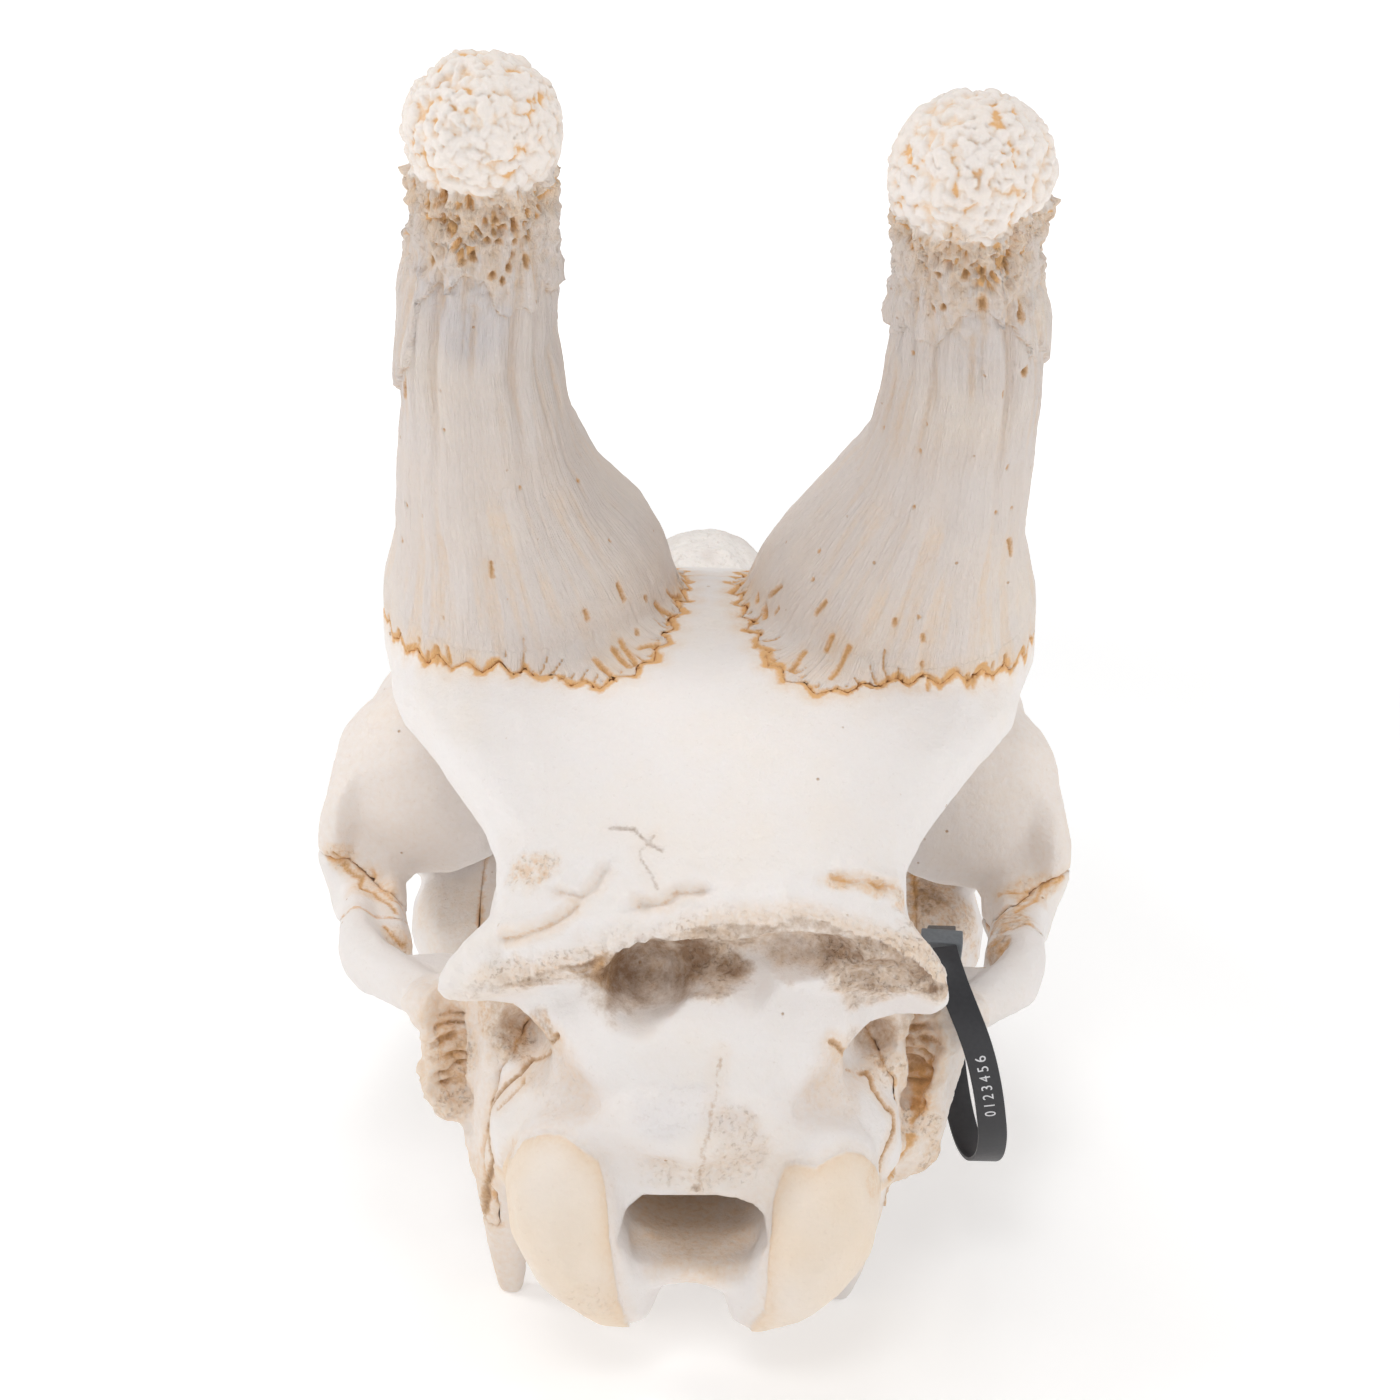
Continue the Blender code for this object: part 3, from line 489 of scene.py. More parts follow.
def groove(clay, path, width, depth, amber=0.0, umber=0.0, halo=0.0, wander=0.8):
    """A thin wandering line sunk into the bone, with its stain."""
    near = boxed(clay.p, path, 9)
    if len(near) == 0:
        return
    p = clay.p[near]
    bent = p + wander * drift(p, 5.0, 7)
    distance = surface_distance(clay, near, bent, path)
    uneven = width * (1 + 0.5 * noise(p, 3.5, 11))
    line = rise(distance, uneven + 0.55, uneven * 0.35)
    clay.move[near] -= depth * line
    mark = np.clip(0.5 + (uneven - distance) / 1.3, 0, 1)
    clay.umber[near] = np.maximum(clay.umber[near], umber * mark)
    wide_mark = np.clip(0.5 + (uneven + 0.5 - distance) / 1.5, 0, 1)
    clay.amber[near] = np.maximum(clay.amber[near], amber * wide_mark)
    clay.halo[near] += halo * rise(distance, width + 5, width)


def ledge(clay, path, height, stain):
    """A line where the bone above stands over the bone below, with an ochre band under it that is stain and
    painted shade.
    """
    path = np.array(path, float)
    near = boxed(clay.p, path, 9)
    p = clay.p[near]
    bent = p + 0.9 * drift(p, 4.0, 7)
    distance, _, foot = to_path(bent, path)
    below = (bent - foot) @ np.array([0.0, 0.75, -0.66])
    side = np.where(below > 0, distance, -distance)
    fade = (rise(np.linalg.norm(foot - path[0], axis=1) + 1, 0, 4)
            * rise(np.linalg.norm(foot - path[-1], axis=1) + 1, 0, 4))
    step = 2.0 * np.exp(-((side + 2.0) / 2.2) ** 2) - 1.4 * np.exp(-((side - 0.9) / 1.0) ** 2)
    clay.move[near] += fade * height * step
    # Amber and ochre under the step: stain, and painted shade of the step's face
    clay.amber[near] += fade * stain * np.clip(0.75 - np.abs(side - 0.9) / 1.5, 0, 1)
    clay.halo[near] += fade * 0.8 * stain * rise(np.abs(side - 1.2), 4.5, 0.8)


# Stained, rough and hollow places, and painted shade under the crest: centre, radii, height, grain size,
# amber, umber, halo, grey, foam, pale
STAINS_AND_SHADE = [
    # Scoop below the crest, from the outer left to the outer right: brown stain, and umber, ochre and grey
    # that are painted shade under the lip
    ((50, 282, 126), (18, 6, 5), 0.3, 2.0, 0.25, 0.4, 0.9, 0, 0.6),
    ((34, 284, 131), (12, 6, 5), 0.3, 2.0, 0.3, 0.55, 0.9, 0, 0.6),
    ((19, 274, 129), (17, 20, 15), 0, 4.0, 0.25, 0.95, 1.0, 0, 0.3),
    ((27, 276, 130), (4, 12, 7), 0, 3.0, 0.5, 0.2, 1.0, 0, 0.3),
    ((-2, 278, 134), (12, 18, 11), 0.6, 2.4, 0.15, 0.45, 1.0, 0, 0.8),
    ((-12, 276, 128), (7, 12, 2.6), -0.8, 3.0, 0.2, 0.8, 1.0, 0, 0.3),
    ((-27, 276, 135), (16, 16, 8), 0, 3.0, 0.1, 0.42, 1.0, 0.3, 0.3),
    ((-44, 280, 136), (12, 12, 6), 0.9, 2.2, 0.15, 0.5, 0.9, 0, 0.8),
    ((-54, 279, 130), (15, 12, 9), 1.2, 2.6, 0.15, 0.5, 1.0, 0, 0.8),
    ((-48, 277, 122), (9, 9, 7), 0.3, 2.6, 0.15, 0.35, 0.9, 0.2, 0.7),
    ((-68, 278, 126), (6, 8, 8), 0.5, 2.2, 0.1, 0.2, 0.6, 0, 0.8, 0.3),
    ((-68.3, 279.6, 123.7), (1.8, 3, 1.8), -1.2, 2.0, 0.2, 1.0, 0.5),
    # Crest from above: amber hollow on the left, ochre streaks on the right
    ((51, 269.7, 152.5), (11, 7, 5.5), -0.9, 2.2, 0.48, 0.05, 0.7, 0, 0.6, 0.3),
    ((-39.5, 274, 154.5), (6, 4, 3), -0.4, 2.0, 0.45, 0, 0.8, 0, 0.4),
    ((-50, 270.5, 151.5), (10, 4, 3), -0.5, 2.0, 0.45, 0, 0.9, 0, 0.5),
    ((-60, 267, 145), (6, 5, 4), -0.3, 2.0, 0.6, 0.1, 0.8, 0, 0.6),
    ((-64, 270, 136), (9, 8, 8), 0.5, 2.4, 0.1, 0.35, 0.8, 0, 0.8),
    # Bone behind the scoop
    ((1, 301, 93), (17, 8, 7), 0, 4.0, 0, 0, 0, 0.5, 0.15),
    ((-14, 306, 86), (9, 8, 9), 0.7, 2.2, 0, 0.12, 0.5, 0.5, 0.5),
    ((0, 303, 72), (18, 9, 6), 0.9, 2.4, 0, 0.06, 0.3, 0.2, 0.4, 0.5),
    ((-0.7, 302, 68.3), (1.6, 4, 1.4), -1.0, 2.0, 0.5, 0.7, 0.6),
    # Inside the brain's opening
    ((0, 266, 56), (30, 34, 17), 0, 9.0, 0.22, 0.10, 1.7),
    ((0, 290, 42), (22, 18, 9), 0, 6.0, 0.1, 0.05, 1.0),
    # Hollows beside the joint knobs
    ((56, 256, 99), (12, 12, 10), 0.3, 5.0, 0.35, 0.28, 1.0, 0, 0.1),
    ((46, 274, 108), (4, 7, 5), 0, 3.0, 0.5, 0.4, 0.8),
    ((56, 257, 90), (8, 6, 6), 1.0, 3.4, 0.2, 0.1, 0.8, 0, 0.8, 0.2),
    ((-53, 257, 98), (12, 13, 10), 0.3, 5.0, 0.3, 0.42, 1.0, 0, 0.1),
    ((-44, 276, 108), (4, 7, 4), 0, 3.0, 0.5, 0.4, 0.8),
    ((-57, 260, 88), (7, 5, 5), 0.9, 3.2, 0.2, 0.1, 0.8, 0, 0.8, 0.2),
    # Ear troughs and the crumbly bone beside them
    ((77, 247, 84), (5, 7, 15), 0, 3.0, 0.2, 0.1, 0.8, 0, 0.2),
    ((70.6, 247.9, 78), (5, 6, 13), 0.9, 2.8, 0.25, 0.1, 0.9, 0, 0.9, 0.3),
    ((75, 250, 66), (6, 6, 8), 0.3, 2.6, 0.25, 0, 0.7, 0, 0.7),
    ((-67, 247, 89), (6, 7, 11), 0, 3.0, 0.2, 0.1, 0.8, 0, 0.3),
    ((-70, 250, 76), (4, 5, 9), -0.3, 2.6, 0.8, 0.1, 1.0, 0, 0.3),
    ((-67, 252, 65), (8, 6, 6), 0.8, 2.8, 0.2, 0.1, 0.7, 0, 0.9, 0.2),
    ((-73.7, 251, 52), (8, 6, 7), 0.7, 3.0, 0.35, 0.1, 0.8, 0, 0.8),
    # Processes and yellowish bone beside the joint knobs
    ((64, 250, 24), (16, 20, 36), 0, 9.0, 0, 0, 0.8, 0, 0, 0.2),
    ((-64, 250, 24), (16, 20, 36), 0, 9.0, 0, 0, 0.8, 0, 0, 0.2),
    ((46, 284, 94), (13, 18, 13), 0.3, 6.0, 0, 0, 0.45, 0.25, 0.2),
    ((-44, 284, 94), (12, 18, 13), 0.3, 6.0, 0, 0, 0.45, 0.25, 0.2),
    # Joint knobs: yellow places and the orange upper edge on the right
    ((52, 290, 60), (9, 14, 14), 0, 6.0, 0.3, 0, 0.5),
    ((31, 314, 36), (8, 8, 9), 0, 6.0, 0.2, 0, 0.4, 0, 0.35),
    ((-52, 300, 70), (7, 8, 7), 0, 5.0, 0.45, 0, 0.5),
    # Cheeks and the bars under the eye sockets
    ((124, 148.5, 106), (5, 5, 5), 0.5, 2.4, 0.35, 0.1, 0.9, 0, 0.5),
    ((112, 155, 98), (9, 8, 5), 0.2, 3.0, 0.25, 0, 0.8, 0, 0.2),
    ((107, 162, 101), (4, 4, 4), 0.9, 3.0, 0.2, 0, 0.8, 0, 0.2, 0.2),
    ((-117, 150, 100), (11, 7, 5), 0.2, 2.6, 0.4, 0, 0.8, 0, 0.3),
    ((-104, 168, 98), (10, 10, 6), 0.3, 2.4, 0.6, 0.2, 1.0, 0, 0.8),
    ((-98, 186, 93), (8, 9, 6), -1.2, 2.4, 0.85, 0.45, 1.0, 0, 0.6),
    ((98, 184, 91), (7, 8, 6), 0.2, 2.4, 0.35, 0.1, 0.9, 0, 0.5),
    # Inner wall of the face behind the eyes
    ((88, 106, 58), (22, 30, 24), 0.2, 4.0, 0.08, 0, 0.5, 0, 0.1, 0.6),
    ((-90, 100, 66), (22, 30, 24), 0.3, 3.0, 0.4, 0.15, 1.0, 0, 0.6),
    ((-84, 92, 74), (8, 10, 7), -0.5, 2.6, 0.3, 0.7, 1.0, 0, 0.3),
    # Blue-grey place on the left horn core
    ((72, 246, 312), (14, 14, 17), 0, 6.0, 0, 0, 0, 0.8),
]

# Steps on the crest: path, height, and strength of the band under each, which is stain and painted shade
LEDGES = [
    ([(60.1, 275.9, 135.8), (52, 280.9, 139), (46, 282.4, 142.4), (41.9, 282.2, 144.3), (37.8, 281, 147.5),
      (34.4, 280.2, 149.8)], 1.0, 0.75),
    ([(43, 274.6, 151.9), (38.1, 277.5, 151.1), (35, 279, 150.8), (32.1, 277.9, 152.7), (29.9, 275.5, 155.6),
      (27.1, 273, 158.8)], 0.9, 0.45),
    ([(20.6, 284, 147.6), (18.1, 281.9, 150.3), (11.9, 282, 150.9), (7.9, 279.8, 153.5), (-2.7, 279.6, 154)],
      1.0, 0.6),
    ([(-37.1, 272.5, 156.9), (-43, 272.1, 155), (-48.5, 269.4, 154.7), (-52.1, 269.2, 152.1),
      (-58.5, 263.7, 150)], 0.9, 0.8)]
CREST_LIP = [
    (70.1, 273.5, 113.1), (62.7, 280.5, 120.9), (52.3, 282.4, 124.3), (40.6, 284, 129.6),
    (29.8, 285.9, 133.9), (22.4, 287.3, 140.1), (11.8, 287.7, 141.5), (0.4, 286.9, 145.2),
    (-12.5, 286.2, 146.2), (-21.1, 286.9, 146.1), (-28.2, 286.7, 149.4), (-36.9, 286.2, 146.9),
    (-42.8, 285.2, 144.4), (-51.9, 282.5, 139.6), (-62.7, 279.3, 132), (-70.6, 277.2, 123.9)]
KNOB_EDGES = {
    LEFT: [(58, 277.2, 59.6), (55.3, 281.8, 68.4), (49.9, 294.5, 79.6), (43.9, 297.8, 83.5),
           (38.6, 299, 83.7), (32, 302.2, 80.4), (27.6, 302.6, 77.5), (25.7, 304.8, 70.6),
           (24.7, 307.7, 62.5), (24, 310.1, 56), (22.3, 310.6, 46), (21.2, 310.5, 36.8), (18.7, 304.8, 25)],
    RIGHT: [(-57.2, 278.5, 59.5), (-51.8, 296.2, 75.4), (-48, 297.9, 79.6), (-43.4, 300.5, 81.5),
            (-34.6, 304.8, 78.5), (-28.9, 302.8, 78.5), (-25.5, 301.5, 76.7), (-22.8, 302.5, 65.3),
            (-22.7, 306.9, 56.5), (-21.4, 310.7, 42.7), (-21.2, 310.2, 34.3), (-18, 304, 25)]}
VALLEY = [(42, 284, 100), (30, 292, 90), (18, 299, 82), (8, 303, 76)]
OPENING_EDGE = [(20.8, 303.4, 51), (17.6, 300, 60), (12.8, 299.9, 64.5), (4, 300.7, 66), (-7.5, 300.7, 66.5),
                (-12.8, 299.9, 64.5), (-17.6, 300, 60), (-21.1, 301.7, 51.8)]
# Cracks: path, width, depth, amber, umber, halo; the first seven lie on the braincase
BACK_CRACKS = 7
CRACKS = [
    ([(27.3, 266, 166.1), (20.3, 266.3, 166.7), (18.1, 268.8, 164.6), (14.9, 270.6, 163.2),
      (11.6, 272.1, 162.1)], 0.3, 0.5, 0.0, 1.0, 0.1),
    ([(14.1, 268.7, 165.3), (18, 271.6, 161.7), (17.3, 274.1, 159), (14.9, 277, 156.2), (12.4, 280, 153.2)],
     0.22, 0.4, 0.3, 0.8, 0.2),
    ([(-8.1, 273.2, 121.9), (-7, 279.4, 118.4), (-6.4, 296.9, 107.7), (-5.5, 301.2, 97.1),
      (-3.4, 307.2, 90.6), (-1.9, 307.5, 81.1), (-1.6, 301.2, 67.6)], 0.3, 0.4, 0.4, 0.55, 0.25),
    ([(41.7, 283.4, 107), (44.4, 281.4, 104.3), (50.1, 262, 89.5), (53.4, 267.2, 86.5), (57.7, 266.3, 81.8),
      (60.4, 266.1, 78.3), (62.6, 266.1, 73.1), (63.3, 265.3, 66.5), (62.6, 269.2, 61.1), (61.5, 272, 59.3),
      (62.5, 262, 45), (63, 256, 30)], 0.7, 1.0, 0.75, 0.9, 0.6),
    ([(51.7, 270.2, 86.4), (51.8, 272.1, 85.8), (59.1, 271, 76.8)], 0.4, 0.5, 0.6, 0.5, 0.4),
    ([(-39.1, 285.6, 108.7), (-43.2, 282.8, 104.8), (-51, 264, 88.5), (-53.6, 268.7, 85.1),
      (-57.3, 270.9, 80), (-59.6, 270, 77.9), (-59.9, 273, 74.1), (-57.9, 278, 71), (-55.4, 282.1, 66.6),
      (-53.1, 286, 60)], 0.7, 1.0, 0.85, 0.8, 0.6),
    ([(-71, 250, 84), (-70.8, 251, 74), (-66, 254, 62), (-60, 262, 58), (-56, 274, 60)], 0.8, 0.8, 1.0, 0.3,
      0.6),
    ([(126, 148.8, 107.3), (122.4, 147.8, 103.6), (119.9, 149.2, 100.6), (117, 150.2, 98.8),
      (115.9, 156, 97.3), (111.6, 155.7, 95.7), (106.7, 164.2, 95.9), (102.1, 171.4, 95.8)], 0.5, 0.5, 0.9,
      0.45, 0.4),
    ([(126, 148.8, 107.3), (122.4, 148.6, 101.8), (119.9, 149.2, 100.6)], 0.4, 0.4, 0.9, 0.3, 0.3),
    ([(113.1, 148.6, 101.3), (110.3, 149.4, 94.9), (104.5, 162.9, 96.5), (99.2, 162.5, 90.1)], 0.4, 0.4, 0.9,
      0.3, 0.3),
    ([(104.4, 183, 95.1), (101.9, 185.2, 93.3), (97.6, 185.1, 90.1)], 0.5, 0.5, 0.9, 0.4, 0.4),
    ([(-125.8, 146.4, 103.7), (-117.4, 148.9, 100.9), (-115.1, 154.5, 98.7), (-107.8, 162.3, 97.5)], 0.45,
      0.4, 0.95, 0.2, 0.4),
    ([(-113.2, 149.8, 99.3), (-108, 149.6, 98.4), (-103.7, 149.4, 98.1)], 0.4, 0.4, 0.9, 0.2, 0.4)]


HORN_AXIS = {
    LEFT: [(57, 150, 180), (59.6, 170, 222), (68, 193, 261), (70, 218, 303), (67, 233, 329),
           (64.4, 256, 366)],
    RIGHT: [(59.5, 150, 180), (62, 171, 222), (71, 195, 259), (73.4, 223, 302), (70.6, 240, 328),
            (67.2, 261, 359)]}
# Degrees round the horn core from its outer side, and how high the cap's rim is there
CAP_RIM = {
    LEFT: [(-180, 353), (-90, 352), (0, 352), (18, 351.4), (41, 349.7), (55, 348.3), (65, 347.2), (95, 347.3),
           (114, 348.6), (136, 351.4), (150, 353.2), (180, 353)],
    RIGHT: [(-180, 347), (-90, 350), (0, 350), (28, 349), (49, 346.8), (61, 344.5), (72, 343), (93, 341.8),
            (103, 342.3), (126, 344), (160, 347.2), (180, 347)]}
# Degrees and height of the ragged edge where the thin outer layer ends
SHEATH_EDGE = {
    LEFT: [(-180, 318), (-120, 312), (-60, 300), (-15, 284), (11, 284), (24, 289), (38, 298), (43, 317),
           (54, 320.5), (64, 322.7), (71, 320), (87, 323.3), (91, 319.7), (95, 322), (102, 315.8),
           (109, 311.9), (118, 313.5), (125, 315.5), (133, 314), (146, 316), (158, 318.7), (180, 318)],
    RIGHT: [(-180, 308), (-120, 305), (-60, 300), (-10, 299), (20, 303.3), (37, 306.9), (54, 312.7),
            (65, 316.7), (77, 315.8), (86, 318.2), (94, 316.9), (106, 312.8), (113, 310.7), (119, 307.8),
            (136, 309.3), (155, 310.4), (168, 310), (180, 308)]}
# Holes in the necks: place, radius and how many times longer than wide
NECK_HOLES = [
    (77.3, 258.4, 340.1, 0.8, 1.2), (73.3, 261.1, 340.5, 1.0, 1.5), (78.7, 260, 344.6, 0.9, 1.3),
    (74.4, 264.9, 348, 1.2, 2.2), (60.8, 263.3, 341.7, 1.0, 1.3), (58.8, 261.4, 339.1, 1.1, 1.0),
    (61.1, 260.9, 337.5, 0.8, 1.4), (56, 260.1, 339.5, 0.9, 1.8), (56.1, 257.3, 335.8, 0.9, 2.0),
    (63, 259.7, 334.9, 0.8, 1.2), (60.1, 258.8, 334.6, 1.0, 1.0), (51.7, 255.6, 338.9, 1.0, 1.3),
    (51.6, 253.2, 335.3, 0.8, 1.6), (67.4, 256.8, 330.3, 1.1, 1.2), (70.2, 256, 329.3, 0.9, 1.0),
    (79.6, 250.6, 328.1, 0.9, 2.2), (62.4, 254, 325.3, 1.0, 1.3), (53.4, 250.8, 328.8, 0.8, 2.8),
    (57.2, 254, 330.6, 0.8, 1.2), (58.3, 253, 327.7, 0.9, 1.8), (60.1, 251.7, 323.6, 0.8, 1.6),
    (90.2, 220.8, 285.6, 1.0, 3.6), (-56.3, 250.8, 320.1, 1.3, 1.0), (-60, 255.4, 320.1, 0.9, 1.4),
    (-62.7, 257.3, 320.8, 0.8, 1.2), (-71.7, 265.6, 330.2, 0.9, 2.4), (-66.9, 264.7, 329.3, 1.0, 1.3),
    (-78.5, 263.7, 331.9, 0.8, 2.6), (-72.6, 259.6, 321.7, 1.0, 3.4), (-83.7, 252.5, 318.8, 0.9, 4.0),
    (-87.6, 239.9, 299.5, 1.1, 1.6), (-60.1, 263.5, 330.5, 0.9, 1.5), (-56.1, 260.5, 331, 0.9, 1.2)]
# Narrow slots in the feet of the horn cores
FOOT_SLOTS = [
    [(66.3, 212.3, 230.8), (66.2, 211.9, 226.5)], [(38, 205.5, 213.9), (37, 205.1, 211.2)],
    [(28.2, 199.1, 220.5), (26.3, 197.6, 215.4)], [(19.8, 190.5, 214.5), (19.1, 189.8, 213.3)],
    [(90.5, 195.8, 200.7), (90.6, 195.6, 199.3)], [(22.1, 196.7, 205.1), (22.1, 198.1, 203.9)],
    [(-22.6, 188.6, 218.6), (-19.2, 184.7, 214)], [(-21.1, 189.8, 209.8), (-22.1, 190.7, 211.7)],
    [(-89.6, 199.2, 198.3), (-89.5, 199.1, 196.3)], [(-94, 194.8, 199.3), (-94.1, 194.5, 197.2)],
    [(-35.8, 203.4, 218.1), (-33.1, 201.9, 213.8)], [(-57.3, 212.1, 215.5), (-57.4, 211.9, 213.9)],
    [(-66, 211.5, 210.4), (-66.2, 211.2, 208.7)], [(-66.4, 209.6, 201.1), (-66.4, 209.6, 199.8)],
    [(-90.8, 206.3, 240.2), (-92.4, 202.3, 234.7)]]
# Clefts that run from the seam up into the feet of the horn cores
SEAM_CLEFTS = [
    [(80.1, 204.3, 195.8), (80.6, 203.1, 200.1)], [(84.3, 201.3, 194.7), (84.3, 200.5, 198.8)],
    [(87.4, 198.2, 194.3), (87.4, 198.4, 196.7)],
    [(34.2, 209.2, 200), (31.9, 213.9, 198.3), (29.4, 216.8, 197.3)],
    [(29, 204.4, 201.8), (26.8, 209.6, 200.3), (24.2, 213.3, 198.9)],
    [(26.9, 201.5, 203.3), (24.5, 206.4, 201.2), (21.5, 212, 199.5)],
    [(21.1, 203.9, 201.9), (15.8, 202, 202.4)],
    [(16.3, 185.2, 210.6), (13.2, 183.8, 207.9), (10.1, 183.7, 206)],
    [(12.9, 178.3, 213.1), (10.9, 175.6, 209.9), (8.3, 169.7, 209.3)],
    [(-30.3, 204, 201.8), (-28.2, 208.5, 200.4), (-26.2, 213.4, 198.7)],
    [(-43.9, 208, 204.9), (-41.9, 209.6, 200.1), (-38.2, 215.1, 197.4)],
    [(-38.6, 205.6, 207.7), (-37, 205.4, 203.1)], [(-69, 210.4, 196.6), (-68.7, 212.1, 193.5)],
    [(-81.7, 204.5, 195.7), (-81.4, 205.9, 192.4)], [(-83.8, 202.9, 194.8), (-83.3, 204.7, 192.1)],
    [(-15.7, 178.6, 212.8), (-15.8, 179.4, 211)], [(-17.9, 184.1, 209.5), (-17.9, 187.1, 207.8)]]
CLEFT_SPACING = 3.4
HORN_SEAM = [(8, 173, 208), (17, 209, 200), (32, 221, 195), (51, 214, 196), (80, 203, 195), (98, 186, 197),
             (107, 160, 204), (104, 128, 196), (88, 106, 190), (62, 97, 190), (32, 102, 195), (13, 122, 202),
             (7, 148, 208), (8, 173, 208)]


def seam_path(side):
    shift = 0.0 if side == LEFT else 2.5
    return [(side * (x + shift), y, z) for x, y, z in HORN_SEAM]


def seam_fingers(clay, side, outwards, longest, seed):
    """Narrow stained clefts across the toothed seam at the foot of a horn core."""
    near = np.nonzero(np.all(np.abs(clay.p - [side * 57, 158, 204]) < [75, 90, 45], axis=1))[0]
    p = clay.p[near]
    distance, along, foot = to_path(p * [1, 1, 0.6], np.array(seam_path(side)) * [1, 1, 0.6])
    middle = np.array([side * 57.0, 158.0])
    outer = np.linalg.norm(p[:, :2] - middle, axis=1) > np.linalg.norm(foot[:, :2] - middle, axis=1)
    wanted = outer if outwards else ~outer
    cleft = np.zeros(len(p))
    wobble = 0.9 * noise(p, 4.0, seed + 3)
    for shift in (-1, 0, 1):
        slot_number = np.floor(along / CLEFT_SPACING) + shift
        pick = scramble(slot_number, slot_number * 0, slot_number * 0 + side + 5, seed)
        place = scramble(slot_number, slot_number * 0 + 1, slot_number * 0 + side + 5, seed)
        middle_at = (slot_number + 0.1 + 0.8 * place) * CLEFT_SPACING
        reach = longest * (0.15 + 0.85 * pick ** 2)
        width = 0.95 * (1 - 0.6 * distance / (reach + 1e-6))
        here = rise(np.abs(along + wobble - middle_at), width, width * 0.3)
        here = here * rise(distance, reach, reach * 0.8)
        cleft = np.maximum(cleft, np.where(wanted, here, 0.0))
    clay.move[near] -= 0.9 * cleft
    clay.amber[near] += 0.85 * cleft
    clay.umber[near] += 0.25 * cleft


def horn_surface(clay, side, lump):
    p = clay.p
    _, along, foot = to_path(p, np.array(HORN_AXIS[side]) * [side, 1, 1])
    out = p - foot
    radius = np.linalg.norm(out, axis=1) + 1e-6
    u, v = out[:, 0] * side / radius, (out[:, 1] * 0.876 - out[:, 2] * 0.482) / radius
    angle = np.degrees(np.arctan2(v, u))
    z = p[:, 2]
    wrapped = np.stack([u * 20, v * 20, along], axis=1).astype(np.float32)
    # Coral lumps on the cap, with a ragged lip that stands over the neck
    rim = np.interp(angle, *np.array(CAP_RIM[side], float).T)
    rim = rim + 2.8 * noise(p, 5.0, 31) + 1.6 * noise(p, 2.4, 33)
    cap = rise(z, rim - 0.8, rim + 0.8)
    shaft = 1 - cap
    warped = p + 1.3 * drift(p, 3.0, 42)
    near, _, number = cells(warped, lump, 41)
    coral = 0.9 - 2.6 * near ** 2 + 0.9 * (number - 0.5) + 0.5 * noise(p, lump * 0.5, 47)
    folded = np.tanh(1.5 * coral)
    below = rim - z
    crumbs = rise(below, 11, -1)
    clay.move += crumbs * 0.9 * folded + cap * 1.4 * layered(p, 12.0, 2, 53)
    hollow = rise(-coral, 0.25, 0.85) * crumbs
    clay.amber += hollow * (0.35 + 0.6 * rise(noise(p, 7.0, 57), -0.2, 0.4))
    clay.halo += crumbs * (0.8 * rise(-coral, -0.2, 0.7) + 0.10)
    clay.pale += 0.55 * crumbs * rise(below + 5 * noise(p, 3.5, 34), 9, -4)
    clay.move += 1.1 * shaft * rise(below, 8, 0.5)
    # Foam close under the rim, then scattered holes that get fewer downwards
    foam = shaft * rise(below, 11.0, 4.5) * rise(noise(wrapped, 9.0, 59), -0.7, 0.1)
    near, _, _ = cells(wrapped, (2.2, 2.2, 2.8), 61)
    holes = rise(near, 0.46, 0.24)
    clay.move += foam * (0.2 - 0.9 * holes)
    clay.umber += foam * holes * 0.25
    clay.amber += foam * 0.6 * holes
    clay.halo += foam * 0.6
    spread = shaft * rise(below, 46, 8)
    # A net of bone with pits between its strands
    bent = wrapped + 0.9 * drift(wrapped, 3.0, 62)
    near, second, number = cells(bent, (2.9, 2.9, 5.2), 67)
    net = rise(below, 34, 14) * shaft * (0.35 + 0.65 * rise(noise(wrapped, 9.0, 65), -0.4, 0.2))
    pit = rise(second - near, 0.05, 0.30) * rise(number, 0.12, 0.55) * net
    near, _, number = cells(wrapped, (1.7, 1.7, 2.4), 69)
    tiny = rise(near, 0.40, 0.22) * (number > 0.66) * spread * rise(below, 34, 6)
    clay.move -= 2.0 * pit + 0.5 * tiny
    clay.amber += 1.1 * rise(pit, 0.45, 0.95) + 0.4 * tiny
    clay.umber += 0.2 * rise(pit, 0.7, 1.0)
    clay.halo += 0.5 * pit
    clay.halo += shaft * 0.35 * rise(below, 44, 4) * (0.5 + 0.6 * noise(wrapped, 7.0, 71))
    knobbly = layered(wrapped, (2.4, 2.4, 4.6), 2, 73)
    clay.move += spread * (2.9 * knobbly + 0.8 * noise(wrapped, (5, 5, 9), 74) - 0.3)
    clay.halo += spread * 0.7 * rise(-knobbly, 0.0, 0.35)
    clay.foam += spread * 0.8
    axis = np.array([-0.06 * side, 0.555, 0.83])
    for x, y, height, width, stretch in NECK_HOLES:
        away = p - [x, y, height]
        close = np.nonzero(np.abs(away).max(axis=1) < 9)[0]
        if len(close) == 0:
            continue
        up = away[close] @ axis
        flat = np.linalg.norm(away[close] - up[:, None] * axis, axis=1)
        reach = np.sqrt(flat ** 2 + (up / stretch) ** 2) / (width * 0.9)
        clay.move[close] -= 1.5 * rise(reach, 1.35, 0.5)
        clay.amber[close] += np.clip(1.5 - reach * 0.75, 0, 1)
        clay.umber[close] += np.clip(0.95 - reach * 0.6, 0, 1)
    # Outer layer that ends in ragged, fibrous flakes above the smooth shaft
    edge = np.interp(angle, *np.array(SHEATH_EDGE[side], float).T)
    strips = np.stack([u * 20, v * 20, along * 0.05], axis=1).astype(np.float32)
    edge = edge + 4.5 * noise(strips, 3.2, 75) + 2.5 * noise(strips, 1.5, 79)
    layer = shaft * rise(z, edge - 0.5, edge + 0.5)
    clay.move += layer * (1.9 - 1.4 * rise(z, edge + 3, edge + 26))
